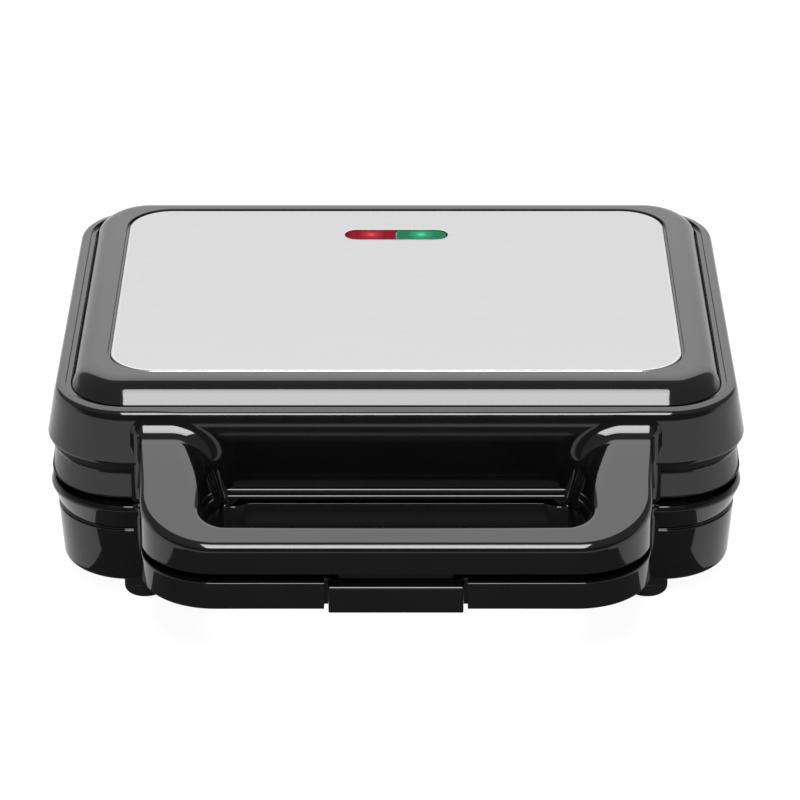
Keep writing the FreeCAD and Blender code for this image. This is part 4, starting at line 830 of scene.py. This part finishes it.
# %% Turned pieces
FOOT_X, FOOT_Y, FOOT_R, GLAND_Z = 95, 83, 8.0, 20.5


def spin(line, middle, axes, count=64):
    """A profile (radius, height) turned round an axis; axes are two turned coordinates and the height."""
    turn = np.linspace(0, 2 * np.pi, count, endpoint=False)
    grid = np.empty((len(line), count, 3))
    grid[..., axes[0]] = middle[0] + line[:, :1] * np.cos(turn)
    grid[..., axes[1]] = middle[1] + line[:, :1] * np.sin(turn)
    grid[..., axes[2]] = line[:, 1:]
    return grid


foot_profile = np.array([(0.05, 0.6), (3.6, 0.6), (4.4, 0.0), (FOOT_R, 0.0), (FOOT_R, 5.2), (7.7, 5.5),
                         (7.7, 6.1), (FOOT_R, 6.4), (FOOT_R, 9.2), (0.05, 9.2)])
foot_line = outline(foot_profile, [0, 0.4, 0.4, 2.0, 0.1, 0.1, 0.1, 0.1, 0, 0],
                    [1, 5, 5, 12, 3, 3, 3, 3, 1, 1], 4)
for end, y in (("front", -FOOT_Y), ("rear", FOOT_Y)):
    for hand, x in (("left", -FOOT_X), ("right", FOOT_X)):
        foot = spin(foot_line, (x, y), (0, 1, 2))
        make_piece(f"pad_{end}_{hand}", [(foot, True)], rubber, "base", [f"foot_{end}_{hand}"])
gland_profile = np.array([(3.6, 91.0), (3.6, 98.0), (7.5, 98.0), (7.5, 96.0), (5.5, 95.9), (5.5, 91.0)])
gland_line = outline(gland_profile, [0, 0.5, 0.7, 0.2, 0, 0], [1, 6, 8, 4, 1, 1], 4)
gland = spin(np.concatenate([gland_line, gland_line[:1]]), (0, GLAND_Z), (0, 2, 1), 48)
make_piece("gland_bush", [(gland, False)], rubber, "base", ["cord_gland"])

# %% [markdown]
# ## Lead to the lid
#
# A sleeved lead takes the current to the upper heater: it comes out of the base behind the hinge line and
# goes into the lid. A bevelled curve could draw it; here it is a mesh, a circle swept along its route.

# %% Lead
LEAD_R, LEAD_SIDES, LEAD_BACK = 2.2, 24, 106.3
route = outline(np.array([(78.0, 21.5), (78.0, 36.0), (LEAD_BACK, 36.0), (LEAD_BACK, 52.3), (78.0, 52.3),
                          (78.0, 62.3)]), [0, 7.0, 7.9, 7.9, 7.0, 0], [1, 14, 18, 18, 14, 1], 8)
heading = unit(np.gradient(route, axis=0))
lead_turn = np.linspace(0, 2 * np.pi, LEAD_SIDES, endpoint=False)
lead_x, lead_off = LEAD_R * np.cos(lead_turn), LEAD_R * np.sin(lead_turn)
lead_grid = np.stack([np.broadcast_to(lead_x, (len(route), LEAD_SIDES)),
                      route[:, :1] + heading[:, 1:] * lead_off, route[:, 1:] - heading[:, :1] * lead_off],
                     axis=-1)
lead = make_piece("sleeved_lead", [(lead_grid, True)], sleeve, None, ["lid_lead"])
place([0, LEAD_BACK, 38.5])
place([0, LEAD_BACK, 49.8])
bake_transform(lead)

# %% [markdown]
# ## Cooking plates
#
# The plates are castings with a dark coating and a pocket for each slice. Insetting and extruding faces
# could sink the pockets, but their round lips would still be missing. So each plate is made of two
# halves: rows of matched outlines lead from the edge of the half over the lip of the pocket, down its
# wall and in to the middle of its floor, and back along the underside.

# %% Half of a cooking plate
PLATE_Z, BACK_Z, PLATE_HALF_X, PLATE_HALF_Y, PLATE_CORNER = 44.0, 41.0, 122.0, 90.0, 24.0
POCKET_X, POCKET_HALF_X, POCKET_HALF_Y, POCKET_CORNER = 57.0, 53.0, 61.5, 12.0
FLOOR_DRAW, POCKET_FLOOR_Z, PAN_Z, PAN_GROW = 7.5, 29.0, 26.0, -3.0


def pocket_row(draw, height, share=1.0):
    """The pocket's mouth drawn in by this much, or shrunk towards its middle."""
    half = np.array([POCKET_HALF_X - draw, POCKET_HALF_Y - draw])
    corner = max(POCKET_CORNER - 0.6 * draw, 3.0)
    return raised(block_outline(-half, half, corner, 14, 24) * share + [POCKET_X, 0], height)


def half_row(draw, height):
    """The edge of the right half of the plate, drawn in by this much on its three outer sides."""
    far_x, far_y, corner = PLATE_HALF_X - draw, PLATE_HALF_Y - draw, PLATE_CORNER - draw
    corners = np.array([(0.0, -far_y), (far_x, -far_y), (far_x, far_y), (0.0, far_y)])
    return raised(outline(corners, [0.02, corner, corner, 0.02], [14] * 4, 24, closed=True), height)


edge_rows = [half_row(0.0, BACK_Z), half_row(0.0, 43.4), half_row(0.12, 43.8), half_row(0.5, PLATE_Z)]
pocket_steps = ((-1.4, PLATE_Z), (-0.9, 43.97), (-0.4, 43.75), (-0.05, 43.3), (0.4, 41.8), (3.1, 32.0),
                (3.6, 30.6), (4.5, 29.5), (6.0, 29.05), (FLOOR_DRAW, POCKET_FLOOR_Z))
pocket_rows = [pocket_row(draw, z) for draw, z in pocket_steps]
pocket_rows += [pocket_row(FLOOR_DRAW, POCKET_FLOOR_Z, share) for share in (0.75, 0.5, 0.25, 0.02)]
pan_rows = [pocket_row(PAN_GROW, PAN_Z, share) for share in (0.02, 0.5, 1.0)]
pan_rows.append(pocket_row(PAN_GROW, BACK_Z))
half_plate, half_under = np.stack(edge_rows + pocket_rows), np.stack(pan_rows + edge_rows[:1])
print("rows of a half plate", len(half_plate), "and of its underside", len(half_under))

# %% [markdown]
# A cutting rib runs from corner to corner of each pocket. The left half is the right one mirrored, and
# the upper plate is the lower one mirrored about the gap between them.

# %% Cooking plates
PLATE_MIRROR, RIB_SHORT = 88.4, 5.0
rib_corners = np.array([(-2.6, 28.0), (2.6, 28.0), (0.8, 37.0), (-0.8, 37.0)])
rib_flat = outline(rib_corners, [0.01, 0.01, 0.6, 0.6], [2, 2, 6, 6], 4, closed=True)
diagonal = np.hypot(POCKET_HALF_X, POCKET_HALF_Y)
rib_x, rib_y, rib_z = np.moveaxis(prism(rib_flat, RIB_SHORT - diagonal, diagonal - RIB_SHORT, 0.5), -1, 0)
cos_rib, sin_rib = POCKET_HALF_X / diagonal, POCKET_HALF_Y / diagonal
rib = np.stack([POCKET_X + cos_rib * rib_x - sin_rib * rib_y, sin_rib * rib_x + cos_rib * rib_y, rib_z],
               axis=-1)
for name, body in (("lower", "base"), ("upper", "lid")):
    surfaces = []
    for sign in (1, -1):
        for grid, caps in ((half_plate, False), (half_under, False), (rib, True)):
            turned = grid * [sign, 1, 1]
            if body == "lid":
                turned = turned * [1, 1, -1] + [0, 0, PLATE_MIRROR]
            surfaces.append((turned, caps))
    make_piece(f"{name}_grill", surfaces, coating, body, [f"{name}_cooking_plate"])

# %% [markdown]
# ## CAD pieces that stay
#
# The inner pieces keep their CAD shapes, which are already right for them, and only get materials.

# %% Materials of the CAD nodes
STAY = {
    satin: ["handle_cover", "lamp_bracket"],
    bright: ["hinge_pin_left", "hinge_pin_right", "latch_pin", "handle_cover_screws", "upper_plate_screws",
             "lower_plate_screws", "thermostat"],
    tube: ["upper_heater", "lower_heater"],
    tray: ["upper_reflector", "lower_reflector"],
    ivory: ["terminal_block", "thermal_fuse", "red_lamp", "green_lamp"],
}
for material, names in STAY.items():
    for name in names:
        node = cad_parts[name]
        node.data.materials.clear()
        node.data.materials.append(material)
print("CAD nodes that stay", sum(map(len, STAY.values())))

# %% [markdown]
# ## Studio
#
# The floor is plain and pale, and shines a little by itself so that it comes out white. It is hidden from
# reflections, which see the room of the world shader instead.

# %% Floor
FLOOR_REACH, FLOOR_STEPS = 6, 13


def make_stage(name, points, faces, material, **hidden):
    """A piece of the studio; hidden names the kinds of rays that don't see it."""
    mesh = bpy.data.meshes.new(name)
    mesh.from_pydata(points.tolist(), [], faces)
    mesh.materials.append(material)
    thing = bpy.data.objects.new(name, mesh)
    for key, value in hidden.items():
        setattr(thing, key, value)
    bpy.context.scene.collection.objects.link(thing)
    print(name, len(points), "points")


floor_look = new_material("pale_floor", Roughness=0.6, Emission_Color=(1, 1, 1, 1), Emission_Strength=0.94)
tint(floor_look, grain(floor_look, 3.0), grey(0.14), grey(0.17))
floor_axis = np.linspace(-FLOOR_REACH, FLOOR_REACH, FLOOR_STEPS)
floor_points = np.stack(np.meshgrid(floor_axis, floor_axis, [0.0], indexing="ij"), axis=-1).reshape(-1, 3)
floor_faces = grid_faces(FLOOR_STEPS, FLOOR_STEPS, wrap=False).tolist()
make_stage("floor", floor_points, floor_faces, floor_look, visible_glossy=False)

# %% [markdown]
# A dark sheet that only reflections see keeps the lower faces and the groove under the crest black. In
# front it stands partly for a dark table and partly for the casing's own shadow near its foot, which is
# painted shade;
# the narrow strips under the lip of the lid on each side are painted shade only.

# %% Dark sheet and painted shade
LIP_SHADE_IN, LIP_SHADE_OUT, LIP_SHADE_Z, FRONT_SHEET_Z = 1.0, -4.0, 44.0, 0.4
# Sheet in front: a dark table and painted shade of the casing's own shadow, seen only in reflections.
dark_and_shade_look = new_material("dark_table_and_painted_shade", Roughness=0.8, Emission_Color=(1, 1, 1, 1), Emission_Strength=0.06)
tint(dark_and_shade_look, grain(dark_and_shade_look, 20.0), grey(0.02), grey(0.03))
front_sheet_y = np.array([-330.0, -195.0, -140.0, -119.0, -112.0, -60.0])
front_sheet_half = np.array([176.0, 173.0, 165.0, 158.0, 135.0, 130.0])
front_sheet_edges = [np.stack([sign * front_sheet_half, front_sheet_y, np.full(len(front_sheet_y), FRONT_SHEET_Z)], axis=-1) for sign in (-1, 1)]
sheet_points = [place(np.stack(front_sheet_edges, axis=1)).reshape(-1, 3)]
sheet_faces = grid_faces(len(front_sheet_y), 2, wrap=False).tolist()
# Strips under the lip of the lid: painted shade, seen only in reflections.
lip_shade = ring_rows(np.array([[LIP_SHADE_IN], [LIP_SHADE_OUT]]), LIP_SHADE_Z)
for sign in (-1, 1):
    beside = np.flatnonzero((sign * NORMAL[:, 0] > 0.25) & (NORMAL[:, 1] < 0.2))
    sheet_faces += grid_faces(2, len(beside), sum(map(len, sheet_points)), wrap=False).tolist()
    sheet_points.append(place(lip_shade[:, beside]).reshape(-1, 3))
make_stage("dark_and_shade_sheets", np.concatenate(sheet_points), sheet_faces, dark_and_shade_look, visible_camera=False,
           visible_diffuse=False, visible_shadow=False)

# %% [markdown]
# The soft box hangs over the front edge of the lid, close to it, so its mirror image ends where the lid's
# corners turn away and bends round the roots of the handle. An area light is a plain rectangle or ellipse
# of even strength, so the box is a rounded sheet that shines, a little weaker at the top.

# %% Soft box
BOX_FAR, BOX_TILT, BOX_HALF, BOX_RISE, BOX_CORNER = 600.0, np.radians(124.5), 190.0, 218.0, 60.0
BOX_AIM = np.array([0, -HALF_D, 80.0])
BOX_GLOW = {"From Min": 0.70, "From Max": 0.59, "To Min": 9.5, "To Max": 13.5}
box_flat = block_outline((-BOX_HALF, -BOX_RISE), (BOX_HALF, BOX_RISE), BOX_CORNER, 12, 6)
toward_box, along_box = (np.array([0, np.cos(t), np.sin(t)]) for t in (BOX_TILT, BOX_TILT + np.pi / 2))
box_points = BOX_AIM + BOX_FAR * toward_box + box_flat[:, 1:] * along_box
box_points[:, 0] = box_flat[:, 0]
box_look = new_material("soft_box", Emission_Color=(1, 1, 1, 1))
box_coords = add_node(box_look, "ShaderNodeTexCoord").outputs["Object"]
box_z = add_node(box_look, "ShaderNodeSeparateXYZ", {0: box_coords}).outputs["Z"]
box_glow = add_node(box_look, "ShaderNodeMapRange", {"Value": box_z, **BOX_GLOW})
feed(box_look, box_glow.outputs["Result"], "Emission Strength")
make_stage("soft_box", place(box_points), [list(range(len(box_points)))], box_look, visible_camera=False,
           visible_shadow=False)

# %% [markdown]
# The rest of the room is in the world shader, as zones of the direction that a ray leaves in: a pale
# backdrop behind, brighter towards its top; a dark ceiling; and in front, below the horizon, pale sides
# with a dark table between them. Panels could stand for it, but zones blend softly into each other. The
# camera itself sees plain white.

# %% Light
world = bpy.data.worlds.new("studio")
bpy.context.scene.world = world
world.use_nodes = True
PER_RADIAN = 57.29578


def maths(operation, *values):
    """One arithmetic node of the world."""
    return add_node(world, "ShaderNodeMath", dict(enumerate(values)), operation=operation).outputs[0]


def zone(value, low, high, start=0.0, end=1.0):
    """A smooth step from start to end as the value goes from low to high."""
    ends = {"From Min": low, "From Max": high, "To Min": start, "To Max": end}
    node = add_node(world, "ShaderNodeMapRange", {"Value": value, **ends}, interpolation_type="SMOOTHSTEP")
    return node.outputs["Result"]


ray = add_node(world, "ShaderNodeTexCoord").outputs["Generated"]
axes = add_node(world, "ShaderNodeSeparateXYZ", {0: ray}).outputs
across = maths("ABSOLUTE", axes["X"])
height_angle = maths("MULTIPLY", maths("ARCTAN2", axes["Z"], axes["Y"]), PER_RADIAN)
aside = zone(maths("MULTIPLY_ADD", axes["Y"], -0.75, across), -0.05, 0.05)
aside = maths("MULTIPLY", aside, zone(axes["Z"], 0.05, 0.2))
behind = maths("MULTIPLY", zone(height_angle, -100, -84), zone(height_angle, 64, 68, 1, 0))
behind = maths("MULTIPLY", behind, maths("SUBTRACT", 1.0, aside))
in_front = maths("SUBTRACT", 1.0, behind)
below = maths("MULTIPLY", in_front, zone(axes["Z"], -0.04, 0.06, 1, 0))
above = maths("SUBTRACT", in_front, below)
forward = maths("SUBTRACT", maths("MULTIPLY", axes["Y"], -1.0), maths("MULTIPLY", across, 0.93))
table = maths("MULTIPLY", zone(axes["Z"], -0.26, -0.17, 1, 0), zone(forward, -0.03, 0.03))
print("zones", len(world.node_tree.nodes), "nodes")

# %% Light of each zone
backdrop_light = maths("MULTIPLY", behind, zone(axes["Z"], 0.0, 1.0, 1.05, 3.1))
side_light = maths("MULTIPLY", below, maths("MULTIPLY_ADD", table, -1.02, 1.1))
ceiling_light = maths("MULTIPLY", above, zone(height_angle, 138, 150, 0.35, 0.12))
room_light = maths("ADD", maths("ADD", backdrop_light, side_light), ceiling_light)
seen = add_node(world, "ShaderNodeLightPath").outputs["Is Camera Ray"]
strength = add_node(world, "ShaderNodeMix", {0: seen, 2: room_light, 3: 1.0}, data_type="FLOAT").outputs[0]
background = world.node_tree.nodes["Background"]
background.inputs["Color"].default_value = (1, 1, 1, 1)
world.node_tree.links.new(strength, background.inputs["Strength"])
bpy.context.scene.view_settings.view_transform = "Standard"
print("world", world.name, len(world.node_tree.nodes), "nodes")

# %% [markdown]
# ## Camera
#
# A long lens from far away, 26 degrees above the table, keeps the plate's sides nearly parallel.

# %% Camera
LOOK_DOWN, CAMERA_AT, LENS = 26, (0.00145, -1.3704, 0.719), 176.9
camera = bpy.data.objects.new("camera", bpy.data.cameras.new("camera"))
camera.data.lens, camera.data.sensor_width = LENS, 36.0
camera.data.clip_end = 20.0
camera.location = CAMERA_AT
camera.rotation_euler = (np.radians(90 - LOOK_DOWN), 0, 0)
bpy.context.scene.collection.objects.link(camera)
bpy.context.scene.camera = camera
print("camera looks down by", LOOK_DOWN, "degrees")
